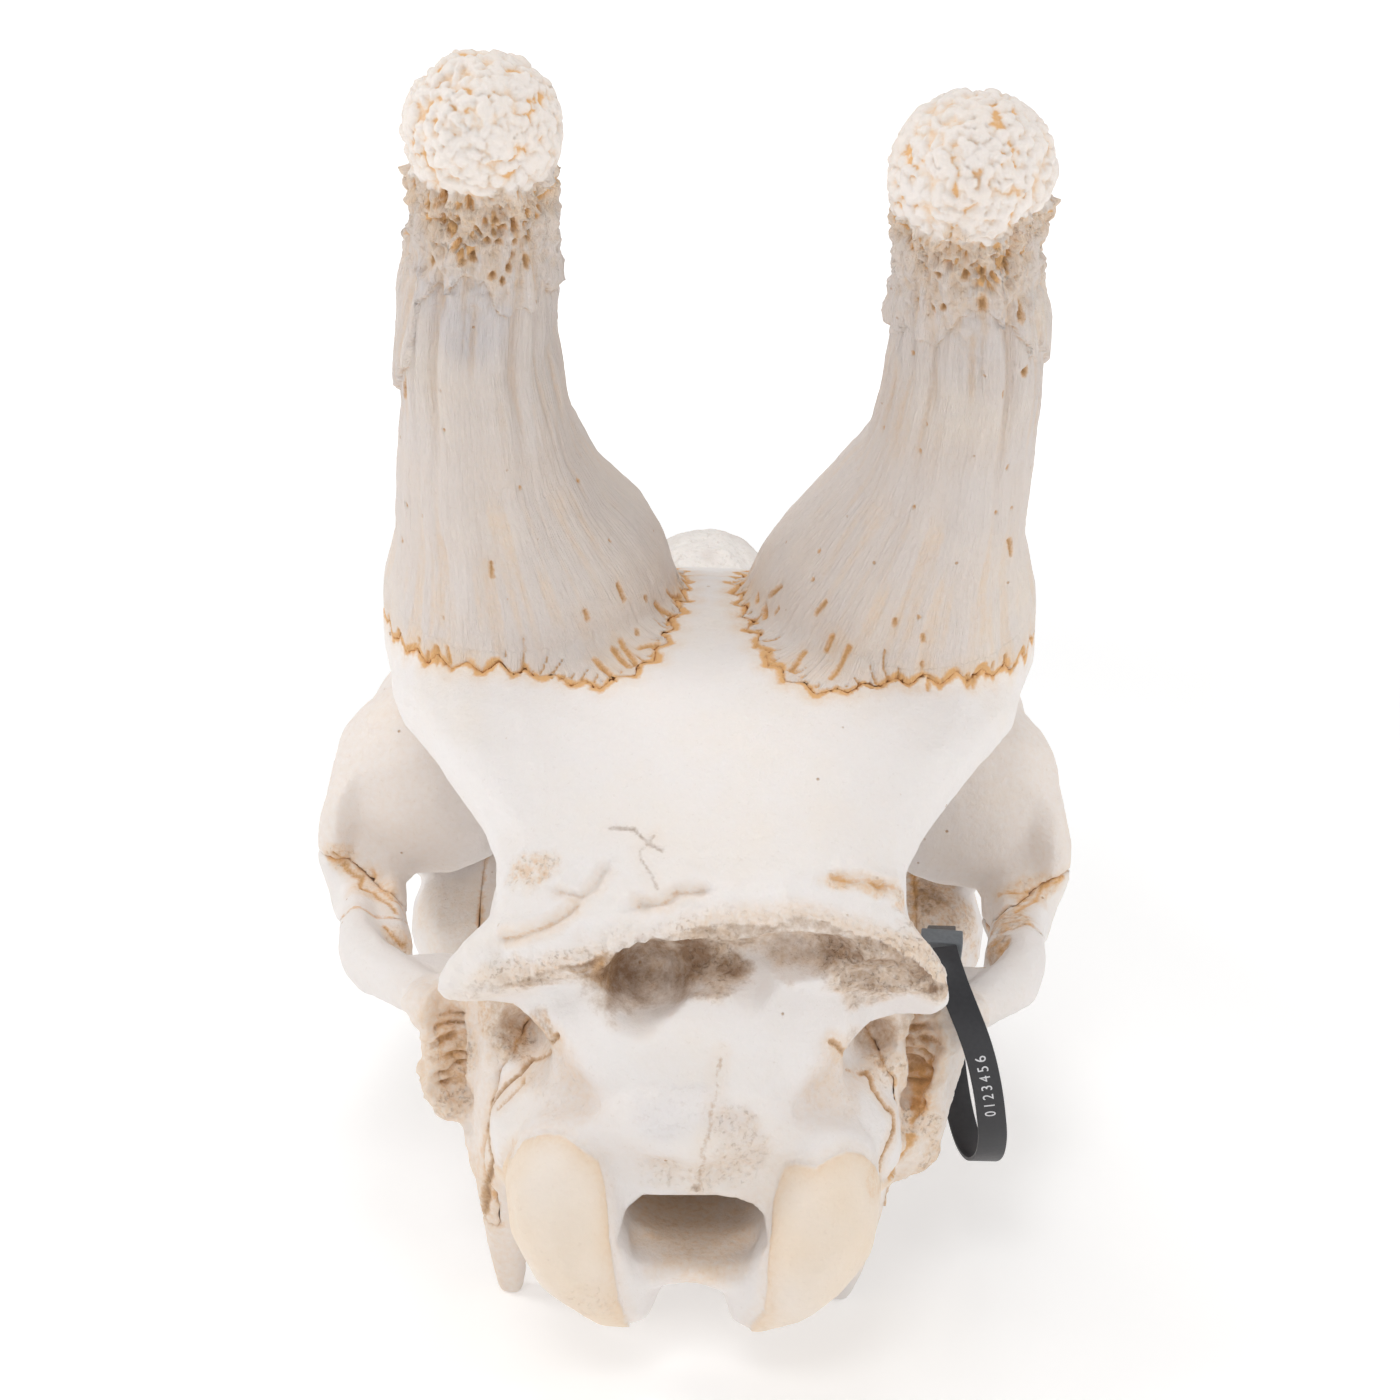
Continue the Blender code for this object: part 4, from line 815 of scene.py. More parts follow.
    # Amber, umber and ochre just under the edge: a stained line, and painted shadow cast by the flakes
    under = shaft * np.clip(1 - (edge - z) / 1.6, 0, 1) * (z < edge)
    clay.amber += 0.45 * under
    clay.umber += 0.38 * under
    clay.halo += 0.8 * under
    clay.move -= 0.5 * under
    # Fibres down the shaft that fan out over the foot
    fibre = np.stack([u * 20, v * 20, along * 0.055], axis=1).astype(np.float32)
    strands = layered(fibre, 1.7, 2, 83)
    broad = layered(fibre, 5.5, 2, 89)
    foot_fade = rise(radius, 60, 26)
    upper = 0.35 + 0.65 * rise(z, 255, 300)
    clay.move += shaft * (1.5 * strands + 2.4 * broad) * (0.35 + 0.65 * foot_fade) * upper
    clay.grain = fibre
    clay.fibre += shaft * (0.45 + 0.55 * upper)
    clay.halo += shaft * 0.5 * rise(-strands, 0.0, 0.35) * rise(noise(wrapped, 26.0, 91), -0.4, 0.3)
    clay.grey += shaft * 0.35 * rise(noise(wrapped, 22.0, 93), 0.0, 0.6) * rise(z, 235, 280)
    slit = np.stack([u * radius, v * radius, along * 0.30], axis=1).astype(np.float32)
    near, _, number = cells(slit, (5.2, 5.2, 2.6), 97)
    slits = rise(near, 0.17, 0.09) * (number > 0.74) * shaft * rise(z, 325, 300)
    clay.move -= 0.7 * slits
    clay.amber += 0.9 * slits
    clay.umber += 0.30 * slits
    seam_fingers(clay, side, False, 8.0, 101)
    for line in SEAM_CLEFTS:
        groove(clay, line, 0.55, 0.9, 1.0, 0.35, 0.3, 0.4)
    for line in FOOT_SLOTS:
        groove(clay, line, 0.42, 0.8, 0.9, 0.6, 0.15, 0.3)


def roof_seams(clay, seed):
    """Stained bone on the roof beside the seams of the horn cores."""
    distance, _ = gap_distance(clay.piece, ["ossicone_left", "ossicone_right"], 8.0)
    p = clay.p
    ragged = 1.2 + 1.5 * noise(p, 4.2, seed) + 0.8 * noise(p, 1.8, seed + 1)
    clay.amber += np.clip(0.6 + (ragged - distance) / 1.6, 0, 1.1) * (distance < 5)
    clay.halo += 0.8 * rise(distance, 7.5, 1.0) * (0.6 + 0.5 * noise(p, 9.0, seed + 2))
    for side in (LEFT, RIGHT):
        seam_fingers(clay, side, True, 3.0, 109)
    for line in SEAM_CLEFTS:
        groove(clay, line, 0.5, 0.6, 1.0, 0.3, 0.2, 0.4)


def ear_troughs(clay):
    """Ribbed hollows of the ears with crumbly rims."""
    p = clay.p
    for centre in ((77, 247, 84), (-68, 247, 86)):
        reach = np.linalg.norm((p - centre) / [6.5, 9, 15], axis=1) + 0.25 * noise(p, 5.0, 216)
        deep = rise(reach, 1.15, 0.8)
        ribs = np.sin(p[:, 2] * 2 * math.pi / 4.4 + 4.5 * noise(p, 6.0, 215)) + 1.1 * noise(p, 2.6, 217)
        rim = rise(np.abs(reach - 1.25), 0.35, 0.1)
        clay.move += deep * (1.1 * ribs - 2.2) + rim * (1.0 + 2.4 * layered(p, 4.0, 2, 218))
        clay.amber += deep * (0.30 + 0.35 * rise(-ribs, -0.2, 0.8))
        clay.umber += deep * 0.5 * rise(-ribs, 0.1, 1.0)
        clay.halo += rise(reach, 1.9, 1.0) * 0.7


def cranium_surface(clay):
    p = clay.p
    x, y, z = p.T
    # Rough edge of the nuchal crest: lumpy above the lip, crumbly along it
    lip, _, foot = to_path(p, CREST_LIP)
    above = z > foot[:, 2]
    lumps = layered(p, 8.0, 3, 201)
    clay.move += np.where(above, rise(lip, 24, 8), 0) * 2.2 * lumps
    crumble = rise(lip, 5.5, 1.5)
    clay.move += crumble * (1.1 * noise(p, 2.3, 203) + 0.9 * noise(p, 4.6, 205))
    right = rise(x, 6, -14)
    clean = np.where(above & (z > 112), rise(lip, 12, 8), 0)
    clay.umber *= 1 - 0.85 * clean
    clay.halo *= 1 - 0.5 * clean
    # Umber and ochre along the lip, strongest below it and on the right: dirt, and painted shade under the
    # overhanging lip
    shade = 0.22 + 0.30 * right
    dirt_and_shade = (0.8 + 0.5 * noise(p, 2.9, 207)) * np.where(above, 0.1, 1)
    clay.umber += rise(lip, 3.5 + 4 * right, 0.5) * shade * dirt_and_shade
    clay.halo += rise(lip, 9, 1) * (0.35 + 0.4 * right)
    clay.foam += rise(lip, 8, 2) * 0.3
    for path, height, stain in LEDGES:
        ledge(clay, path, height, stain)
    ear_troughs(clay)
    for side in (LEFT, RIGHT):
        # Joint surfaces of the knobs, smooth, greasy and a little proud
        rim = [(side * a[0], a[2]) for a in KNOB_EDGES[side]]
        within = inside_outline(x * side, z, rim + [(16, -5), (75, -5), (75, 50)])
        edge, _, _ = to_path(p, KNOB_EDGES[side])
        joint = within * rise(edge, 0.0, 1.6) * rise(y, 262, 274)
        clay.cream += joint * (0.8 + 0.25 * noise(p, 14, 211))
        clay.move += joint * (0.75 - 0.28 * layered(p, 16.0, 3, 3))
        clay.halo += joint * 0.5 * rise(edge, 9, 1)
        groove(clay, KNOB_EDGES[side], 0.3, 0.4, 0.12, 0.08, 0.3, 0.4)
        # Valley between the knob's mound and the middle of the bone, sunk, with grey and ochre painted shade
        # in it
        valley = np.array(VALLEY) * [side, 1, 1]
        near = boxed(p, valley, 20)
        dip = np.exp(-(surface_distance(clay, near, p[near], valley) / 6.5) ** 2) * rise(y[near], 276, 284)
        clay.move[near] -= 3.2 * dip
        clay.halo[near] += 0.35 * dip
        clay.grey[near] += 0.45 * dip
    for path, *sizes in CRACKS[:BACK_CRACKS]:
        groove(clay, path, *sizes)


def ear_surface(clay):
    p = clay.p
    ear_troughs(clay)
    crumbs = rise(p[:, 1], 215, 240) * rise(p[:, 2], 125, 100)
    clay.move += crumbs * 1.5 * layered(p, 5.0, 3, 221)
    clay.halo += crumbs * 0.4
    for path, *sizes in CRACKS:
        groove(clay, path, *sizes)


TOOTH_FRONT = -116.0
TOOTH_LENGTHS = (19, 22, 23, 26, 29, 30)


def tooth_surface(clay):
    """Enamel on the crowns: two columns a tooth, gaps between teeth and crescents on the worn faces."""
    p = clay.p
    x, y, z = p.T
    row = rise(y, TOOTH_FRONT - 2, TOOTH_FRONT) * rise(y, 35, 32) * rise(np.abs(x), 20, 24)
    crown = rise(z, 27, 22) * row
    at = TOOTH_FRONT
    for length in TOOTH_LENGTHS:
        share = (y - at) / length
        inside = crown * (share >= 0) * (share <= 1)
        flank = inside * rise(np.abs(clay.n[:, 2]), 0.8, 0.4)
        clay.move += flank * (0.9 * np.cos(4 * math.pi * share + math.pi) - 0.4)
        gap = crown * rise(np.abs(y - at), 1.5, 0.4)
        clay.move -= gap * 0.9
        clay.umber += gap * 0.8
        worn = inside * rise(-clay.n[:, 2], 0.7, 0.9)
        rings = np.abs(((share * 2) % 1.0) - 0.5)
        clay.umber += worn * 0.6 * rise(np.abs(rings - 0.28), 0.09, 0.03)
        at += length
    clay.pale += crown * 0.6
    clay.cream += crown * 0.25
    clay.umber += crown * 0.5 * rise(noise(p * [1, 1, 0.35], 2.2, 231), 0.3, 0.7) * rise(z, 8, 20)
    clay.amber += 0.55 * rise(np.abs(z - 25), 2.5, 0.8) * row


# Finishes
def socket_in(group, name, kind, default=None):
    made = group.interface.new_socket(name=name, in_out="INPUT", socket_type="NodeSocket" + kind)
    if default is not None:
        made.default_value = default


def node(tree, kind, place, **inputs):
    made = tree.nodes.new(kind)
    made.location = place
    for key, value in inputs.items():
        made.inputs[key.replace("_", " ")].default_value = value
    return made


def new_finish(name):
    made = bpy.data.materials.new(name)
    made.use_nodes = True
    tree = made.node_tree
    return made, tree, tree.links.new, tree.nodes["Principled BSDF"]


def bone_group():
    """Colour, roughness and fine height of weathered bone from its marks, its tints and the place on it."""
    name = "Bone surface"
    if name in bpy.data.node_groups:
        return bpy.data.node_groups[name]
    group = bpy.data.node_groups.new(name, "ShaderNodeTree")
    for label, default in (("Bone", (0.86, 0.81, 0.76, 1)), ("Amber", (0.6, 0.3, 0.1, 1)),
                           ("Umber", (0.2, 0.1, 0.05, 1)), ("Cream", (0.87, 0.72, 0.56, 1))):
        socket_in(group, label, "Color", default)
    socket_in(group, "Marks", "Color", (0, 0, 0, 1))
    socket_in(group, "Pale", "Float", 0.0)
    socket_in(group, "Tints", "Color", (0, 0, 0, 1))
    socket_in(group, "Fibre", "Float", 0.0)
    socket_in(group, "Grain", "Vector")
    for label, kind in (("Color", "Color"), ("Roughness", "Float"), ("Height", "Float")):
        group.interface.new_socket(name=label, in_out="OUTPUT", socket_type="NodeSocket" + kind)
    tree, link = group, group.links.new
    source = node(tree, "NodeGroupInput", (-1800, 0))
    result = node(tree, "NodeGroupOutput", (1800, 0))
    place = node(tree, "ShaderNodeTexCoord", (-1800, -400))
    marks = node(tree, "ShaderNodeSeparateColor", (-1500, 200))
    tints = node(tree, "ShaderNodeSeparateColor", (-1500, 0))
    link(source.outputs["Marks"], marks.inputs[0])
    link(source.outputs["Tints"], tints.inputs[0])

    def grain(scale, detail, at):
        made = node(tree, "ShaderNodeTexNoise", at, Scale=scale, Detail=detail, Roughness=0.6)
        link(place.outputs["Object"], made.inputs["Vector"])
        return made.outputs["Fac"]

    def spread(value, low, high, at, to_low=0.0, to_high=1.0):
        made = node(tree, "ShaderNodeMapRange", at)
        for label, number in (("From Min", low), ("From Max", high), ("To Min", to_low), ("To Max", to_high)):
            made.inputs[label].default_value = number
        link(value, made.inputs["Value"])
        return made.outputs["Result"]

    def reckon(kind, a, b, at):
        made = node(tree, "ShaderNodeMath", at)
        made.operation = kind
        for socket, value in zip(made.inputs, (a, b)):
            if isinstance(value, float):
                socket.default_value = value
            else:
                link(value, socket)
        return made.outputs[0]

    def mix(a, b, share, at, kind="MIX"):
        made = tree.nodes.new("ShaderNodeMix")
        made.data_type = "RGBA"
        made.blend_type = kind
        made.location = at
        made.clamp_result = True
        for value, socket in ((share, made.inputs[0]), (a, made.inputs[6]), (b, made.inputs[7])):
            if isinstance(value, (float, tuple)):
                socket.default_value = value
            else:
                link(value, socket)
        return made.outputs[2]

    clouds = grain(24.0, 4.0, (-1500, -200))
    blotch = grain(8.0, 3.0, (-1500, -450))
    fine = grain(520.0, 5.0, (-1500, -700))
    ragged = grain(1100.0, 3.0, (-1500, -850))
    # Fields from 0 to 1 become crisp stains with a ragged edge; soft umber values are painted shade under the
    # crest
    torn = spread(reckon("ADD", reckon("MULTIPLY", fine, 0.6, (-1300, -700)),
                         reckon("MULTIPLY", ragged, 0.4, (-1300, -850)), (-1150, -750)),
                  0.3, 0.7, (-1000, -750), -0.22, 0.22)
    amber_field = spread(reckon("ADD", marks.outputs["Red"], torn, (-850, 250)), 0.25, 0.92, (-700, 250))
    umber_and_shade_field = spread(reckon("ADD", marks.outputs["Green"], torn, (-850, 50)), 0.10, 1.05, (-700, 50))
    warm = mix(source.outputs["Bone"], (0.88, 0.78, 0.66, 1.0),
               reckon("MULTIPLY", spread(clouds, 0.50, 0.78, (-850, -200)), 0.45, (-700, -200)), (-500, 100))
    cool = mix(warm, (0.83, 0.79, 0.765, 1.0),
               reckon("MULTIPLY", spread(blotch, 0.50, 0.72, (-850, -450)), 0.35, (-700, -450)), (-300, 100))
    greyed = mix(cool, (0.60, 0.58, 0.61, 1.0),
                 reckon("MULTIPLY", tints.outputs["Green"], 0.45, (-300, 250)), (-150, 100))
    pale = mix(greyed, (0.90, 0.875, 0.85, 1.0), source.outputs["Pale"], (0, 100))
    creamy = mix(pale, source.outputs["Cream"],
                 reckon("MULTIPLY", marks.outputs["Blue"], spread(clouds, 0.3, 0.6, (0, -100), 0.75, 1.0),
                        (100, -50)), (200, 100))
    halo = reckon("MULTIPLY", tints.outputs["Red"],
                  spread(fine, 0.3, 0.65, (200, -200), 0.45, 1.0), (350, -200))
    ochre = mix(creamy, (0.80, 0.58, 0.38, 1.0), reckon("MULTIPLY", halo, 0.75, (450, -200)), (550, 100))
    # Pores of foamy bone
    open_pore = reckon("MULTIPLY", spread(grain(620.0, 2.5, (-1500, -1250)), 0.44, 0.33, (-1150, -1250)),
                       tints.outputs["Blue"], (-950, -1250))
    porous = mix(ochre, (0.55, 0.39, 0.28, 1.0), reckon("MULTIPLY", open_pore, 0.40, (600, -300)), (700, 100))
    # A few pinholes
    pin = node(tree, "ShaderNodeTexVoronoi", (-1500, -1050), Scale=118.0)
    link(place.outputs["Object"], pin.inputs["Vector"])
    choice = node(tree, "ShaderNodeSeparateColor", (-1300, -1100))
    link(pin.outputs["Color"], choice.inputs[0])
    pinhole = reckon("MULTIPLY", spread(pin.outputs["Distance"], 0.080, 0.045, (-1150, -1050)),
                     spread(choice.outputs["Red"], 0.72, 0.78, (-1150, -1150)), (-950, -1050))
    specked = mix(porous, (0.52, 0.29, 0.13, 1.0), reckon("MULTIPLY", pinhole, 0.75, (750, -300)), (850, 100))
    amber = mix(specked, source.outputs["Amber"],
                reckon("MULTIPLY", amber_field, 0.92, (900, 250)), (1050, 100))
    umber = mix(amber, source.outputs["Umber"],
                reckon("MULTIPLY", umber_and_shade_field, 0.92, (1100, 250)), (1250, 100))
    link(umber, result.inputs["Color"])
    link(spread(marks.outputs["Blue"], 0.0, 1.0, (1250, -200), 0.60, 0.38), result.inputs["Roughness"])
    sunk = reckon("ADD", reckon("MULTIPLY", open_pore, -1.6, (1250, -350)),
                  reckon("MULTIPLY", pinhole, -1.5, (1250, -450)), (1400, -400))
    strands = node(tree, "ShaderNodeTexNoise", (1000, -600), Scale=1.1, Detail=4.0, Roughness=0.65)
    link(source.outputs["Grain"], strands.inputs["Vector"])
    threads = reckon("MULTIPLY", reckon("MULTIPLY", strands.outputs["Fac"], 6.5, (1250, -600)),
                     source.outputs["Fibre"], (1400, -600))
    height = reckon("ADD", reckon("ADD", fine, sunk, (1500, -400)), threads, (1600, -450))
    link(height, result.inputs["Height"])
    return group


def bone_finish(name, colour):
    sizes = bpy.context.scene.skull_bone
    made = bpy.data.materials.get(name)
    if made:
        return made
    made, tree, link, shader = new_finish(name)
    for label, value in (("IOR", 1.52), ("Specular IOR Level", 0.35), ("Subsurface Weight", 0.05),
                         ("Subsurface Radius", (0.0018, 0.0012, 0.0008)), ("Subsurface Scale", 1.0)):
        shader.inputs[label].default_value = value
    group = tree.nodes.new("ShaderNodeGroup")
    group.node_tree = bone_group()
    group.location = (-400, 0)
    for label, tint in (("Bone", colour), ("Amber", sizes.amber), ("Umber", sizes.umber),
                        ("Cream", sizes.cream)):
        group.inputs[label].default_value = (*tint, 1)
    for row, (key, uses) in enumerate((("marks", {"Color": "Marks", "Alpha": "Pale"}),
                                       ("tints", {"Color": "Tints", "Alpha": "Fibre"}),
                                       ("grain", {"Vector": "Grain"}))):
        kept = node(tree, "ShaderNodeAttribute", (-700, -250 * row))
        kept.attribute_name = key
        for output, use in uses.items():
            link(kept.outputs[output], group.inputs[use])
    link(group.outputs["Color"], shader.inputs["Base Color"])
    link(group.outputs["Roughness"], shader.inputs["Roughness"])
    bump = node(tree, "ShaderNodeBump", (-200, -300), Strength=0.6, Distance=0.0008)
    link(group.outputs["Height"], bump.inputs["Height"])
    link(bump.outputs["Normal"], shader.inputs["Normal"])
    return made


def moulded_finish(name, colour, roughness):
    """Moulded plastic with a faint uneven gloss."""
    made, tree, link, shader = new_finish(name)
    place = node(tree, "ShaderNodeTexCoord", (-1000, 0))
    grain = node(tree, "ShaderNodeTexNoise", (-800, 0), Scale=900.0, Detail=3.0)
    link(place.outputs["Object"], grain.inputs["Vector"])
    shade = node(tree, "ShaderNodeMapRange", (-600, -200))
    shade.inputs["To Min"].default_value = roughness - 0.08
    shade.inputs["To Max"].default_value = roughness + 0.12
    link(grain.outputs["Fac"], shade.inputs["Value"])
    link(shade.outputs["Result"], shader.inputs["Roughness"])
    tint = node(tree, "ShaderNodeMix", (-600, 200))
    tint.data_type = "RGBA"
    tint.inputs[6].default_value = (*colour, 1)
    tint.inputs[7].default_value = (*[min(1.0, c * 1.6 + 0.01) for c in colour], 1)
    link(grain.outputs["Fac"], tint.inputs[0])
    link(tint.outputs[2], shader.inputs["Base Color"])
    bump = node(tree, "ShaderNodeBump", (-300, -300), Strength=0.15, Distance=0.0002)
    link(grain.outputs["Fac"], bump.inputs["Height"])
    link(bump.outputs["Normal"], shader.inputs["Normal"])
    return made


# The pieces, one operator each
class SKULL_OT_braincase(bpy.types.Operator):
    """Build the back of the skull: roof, crest, condyles and the processes beside them"""
    bl_idname = "skull.braincase"
    bl_label = "Braincase"

    def execute(self, context):
        sizes = context.scene.skull_bone
        crisp = [(CREST_LIP, 7), (KNOB_EDGES[LEFT], 4), (KNOB_EDGES[RIGHT], 4), (OPENING_EDGE, 5)]
        clay = bone_copy("cranium", sizes.fineness, 18, crisp)
        bone_skin(clay, 0.35, 3)
        roof_seams(clay, 113)
        cranium_surface(clay)
        finish_bone(clay, "cranium", bone_finish("bone_ivory", sizes.ivory))
        return {"FINISHED"}


class SKULL_OT_forehead(bpy.types.Operator):
    """Build the frontal bone with the brows and the rear walls of the eye sockets"""
    bl_idname = "skull.forehead"
    bl_label = "Forehead"

    def execute(self, context):
        sizes = context.scene.skull_bone
        clay = bone_copy("frontal", sizes.fineness)
        bone_skin(clay, 0.45, 5)
        roof_seams(clay, 113)
        for path, *line_sizes in CRACKS[BACK_CRACKS:]:
            groove(clay, path, *line_sizes)
        clay.halo += 0.3 * rise(np.abs(clay.p[:, 0]), 70, 95)
        finish_bone(clay, "frontal", bone_finish("bone_ivory", sizes.ivory))
        return {"FINISHED"}


class SKULL_OT_horn_cores(bpy.types.Operator):
    """Build the two large horn cores with their rough caps"""
    bl_idname = "skull.horn_cores"
    bl_label = "Horn Cores"

    def execute(self, context):
        sizes = context.scene.skull_bone
        for word, side in SIDES.items():
            name = "ossicone_" + word
            clay = bone_copy(name, sizes.horn_fineness, 14)
            bone_skin(clay, 1.1, 7 + side)
            horn_surface(clay, side, sizes.cap_lump / MM)
            finish_bone(clay, name, bone_finish("bone_grey", sizes.shell_grey))
        return {"FINISHED"}


class SKULL_OT_nose_horn(bpy.types.Operator):
    """Build the low horn core on the forehead"""
    bl_idname = "skull.nose_horn"
    bl_label = "Nose Horn"

    def execute(self, context):
        sizes = context.scene.skull_bone
        clay = bone_copy("ossicone_median", sizes.horn_fineness)
        bone_skin(clay, 0.4, 11)
        patch(clay, (0, 32, 186), (22, 32, 14), 0.8, 4.0, halo=0.1, foam=0.3, pale=0.8)
        finish_bone(clay, "ossicone_median", bone_finish("bone_grey", sizes.shell_grey))
        return {"FINISHED"}


class SKULL_OT_face(bpy.types.Operator):
    """Build the bones of the face, cheeks and palate, the teeth and the ear region"""
    bl_idname = "skull.face"
    bl_label = "Face"

    def execute(self, context):
        sizes = context.scene.skull_bone
        finish = bone_finish("bone_ivory", sizes.ivory)
        for kind in ("nasal", "premaxilla", "maxilla", "lacrimal", "jugal", "pterygoid", "temporal"):
            for word, side in SIDES.items():
                name = kind + "_" + word
                size = sizes.fineness if kind in ("temporal", "jugal") else sizes.face_fineness
                clay = bone_copy(name, size)
                bone_skin(clay, 0.6, 13 + side)
                if kind == "maxilla":
                    tooth_surface(clay)
                if kind in ("temporal", "jugal"):
                    ear_surface(clay)
                finish_bone(clay, name, finish)
        return {"FINISHED"}


STRAP_STEPS = 12  # between two rows of the path
NUMBER_STATION = 6.0  # row where the number's middle lies
DIGIT_HEIGHT, DIGIT_SPACING = 0.0048, 1.5
PRINT_THICKNESS, PRINT_GAP = 0.00008, 0.00002
LOCK_GREY = (0.10, 0.11, 0.12)
STRAP_PATH = [
    (-74.2, 244.7, 121.2), (-75.2, 249.4, 118.4), (-77.6, 253.7, 112.5), (-80.6, 256.5, 105.8),
    (-83.8, 258.2, 98.5), (-86.6, 258.5, 90.5), (-89.2, 257.2, 80.5), (-91.3, 254.3, 70), (-93, 249.5, 59),
    (-93.3, 242, 48.5), (-92, 231, 41), (-89.8, 218, 39.5), (-87.5, 205.5, 45), (-85.5, 195, 56),
    (-84, 187.5, 72), (-82, 184.5, 88), (-80, 190, 102), (-78.3, 203, 109), (-76.5, 218, 114.3),
    (-75, 231, 118.3), (-74.4, 239, 118.2), (-74, 244.4, 113.6), (-73.8, 246.8, 108), (-73.5, 248, 103.5)]


def round_edges(piece, width, segments):
    rounded = piece.modifiers.new("Rounded edges", "BEVEL")
    rounded.width = width
    rounded.segments = segments
    rounded.limit_method = "ANGLE"
    apply_all(piece)
    bpy.ops.object.shade_smooth_by_angle(angle=math.radians(40))


def smooth_rows(rows, steps):
    rows = np.array(rows, float)
    ends = np.vstack([2 * rows[0] - rows[1], rows, 2 * rows[-1] - rows[-2]])
    out = []
    for i in range(len(rows) - 1):
        a, b, c, d = ends[i:i + 4]
        for t in np.linspace(0.0, 1.0, steps, endpoint=False):
            out.append(0.5 * (2 * b + (c - a) * t + (2 * a - 5 * b + 4 * c - d) * t * t
                              + (3 * b - a - 3 * c + d) * t ** 3))
    out.append(rows[-1])
    return np.array(out)


def strap_frames():
    """Place, direction, width direction and outward direction along the strap, in metres."""
    rows = smooth_rows(STRAP_PATH, STRAP_STEPS)
    tangents = np.gradient(rows, axis=0)
    frames = []
    for place, along in zip(rows, tangents):
        along = Vector(along).normalized()
        across = Vector((1, 0, 0))
        across = (across - along * across.dot(along)).normalized()
        frames.append((Vector((place + FOOT_SHIFT) * MM), along, across, along.cross(across)))
    return frames


class SKULL_OT_tag_strap(bpy.types.Operator):
    """Build the flat strap of the collection tag"""
    bl_idname = "skull.tag_strap"
    bl_label = "Tag Strap"

    def execute(self, context):
        tag = context.scene.skull_tag
        bm = bmesh.new()
        rings = []
        for place, _, across, out in strap_frames():
            ring = []
            for u, v in ((-1, -1), (1, -1), (1, 1), (-1, 1)):
                ring.append(bm.verts.new(place + across * u * tag.strap_width / 2
                                         + out * v * tag.strap_thickness / 2))
            rings.append(ring)
        for low, high in zip(rings, rings[1:]):
            for j in range(4):
                k = (j + 1) % 4
                bm.faces.new((low[j], low[k], high[k], high[j]))
        bm.faces.new(rings[0])
        bm.faces.new(rings[-1])
        bmesh.ops.recalc_face_normals(bm, faces=bm.faces)
        mesh = bpy.data.meshes.new("tag_strap_band")
        bm.to_mesh(mesh)
        bm.free()
        piece = bpy.data.objects.new("tag_strap_band", mesh)
        context.scene.collection.objects.link(piece)
        round_edges(piece, 0.0003, 2)
        piece.data.materials.append(moulded_finish("strap_black", tag.black, 0.42))
        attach(piece, "root")
        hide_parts("tag_strap")
        return {"FINISHED"}


class SKULL_OT_tag_number(bpy.types.Operator):
    """Print plain digits along the rear run of the strap"""
    bl_idname = "skull.tag_number"
    bl_label = "Tag Number"

    def execute(self, context):
        tag = context.scene.skull_tag
        bpy.ops.object.select_all(action="DESELECT")
        bpy.ops.object.text_add(location=(0, 0, 0))
        words = context.object
        words.name = "tag_number_print"
        words.data.body = tag.number
        words.data.size = DIGIT_HEIGHT
        words.data.align_x = "CENTER"
        words.data.align_y = "CENTER"
        words.data.space_character = DIGIT_SPACING
        words.data.extrude = PRINT_THICKNESS / 2
        bpy.ops.object.convert(target="MESH")
        piece = context.object
        frames = strap_frames()
        places = np.array([f[0] for f in frames])
        lengths = np.concatenate([[0], np.cumsum(np.linalg.norm(np.diff(places, axis=0), axis=1))])
        middle = np.interp(NUMBER_STATION * STRAP_STEPS, np.arange(len(lengths)), lengths)
        for vertex in piece.data.vertices:
            at = middle - vertex.co.x
            i = min(len(frames) - 2, int(np.searchsorted(lengths, at)) - 1)
            share = (at - lengths[i]) / (lengths[i + 1] - lengths[i])
            place = frames[i][0].lerp(frames[i + 1][0], share)
            across = frames[i][2].lerp(frames[i + 1][2], share)
            out = frames[i][3].lerp(frames[i + 1][3], share)
            depth = -tag.strap_thickness / 2 - PRINT_GAP - vertex.co.z
            vertex.co = place + across * vertex.co.y + out * depth
        piece.data.materials.clear()
        piece.data.materials.append(moulded_finish("print_white", tag.print_white, 0.55))
        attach(piece, "root")
        return {"FINISHED"}


class SKULL_OT_tag_lock(bpy.types.Operator):
    """Build the small lock that the strap runs through"""
    bl_idname = "skull.tag_lock"
    bl_label = "Tag Lock"

    def execute(self, context):
        piece = solid_copy("tag_lock", "_block", quads=True)
        round_edges(piece, 0.0005, 3)
        piece.data.materials.append(moulded_finish("lock_grey", LOCK_GREY, 0.35))
        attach(piece, "root")
        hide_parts("tag_lock")
        return {"FINISHED"}


# The floor's own light, from near the skull to far away
GLOW_REACH, NEAR_GLOW = (0.4, 1.3), 0.24
SKY_STRENGTH = 0.45
# Soft lights: name, place, width, share of the key power
LAMP_AIM = (0, 0.15, 0.15)
LAMPS = (("key", (1.35, 0.2, 1.15), 0.6, 0.7), ("fill", (-1.3, 0.5, 1.0), 0.7, 0.5),
         ("front", (0.3, 1.5, 1.9), 0.8, 0.9), ("top", (0.1, 0.0, 1.95), 0.8, 0.65))
# Camera fitted to the photo: its right, up and backward directions and its place
FOCAL_PIXELS, PHOTO_PIXELS, SENSOR_WIDTH = 2510, 1400, 36.0
CAMERA_AXES = ((-0.99968, -0.00503, 0.02475), (0.02504, -0.32555, 0.94519), (0.0033, 0.94551, 0.32557))
CAMERA_PLACE = (4.363, 946.987, 441.107)


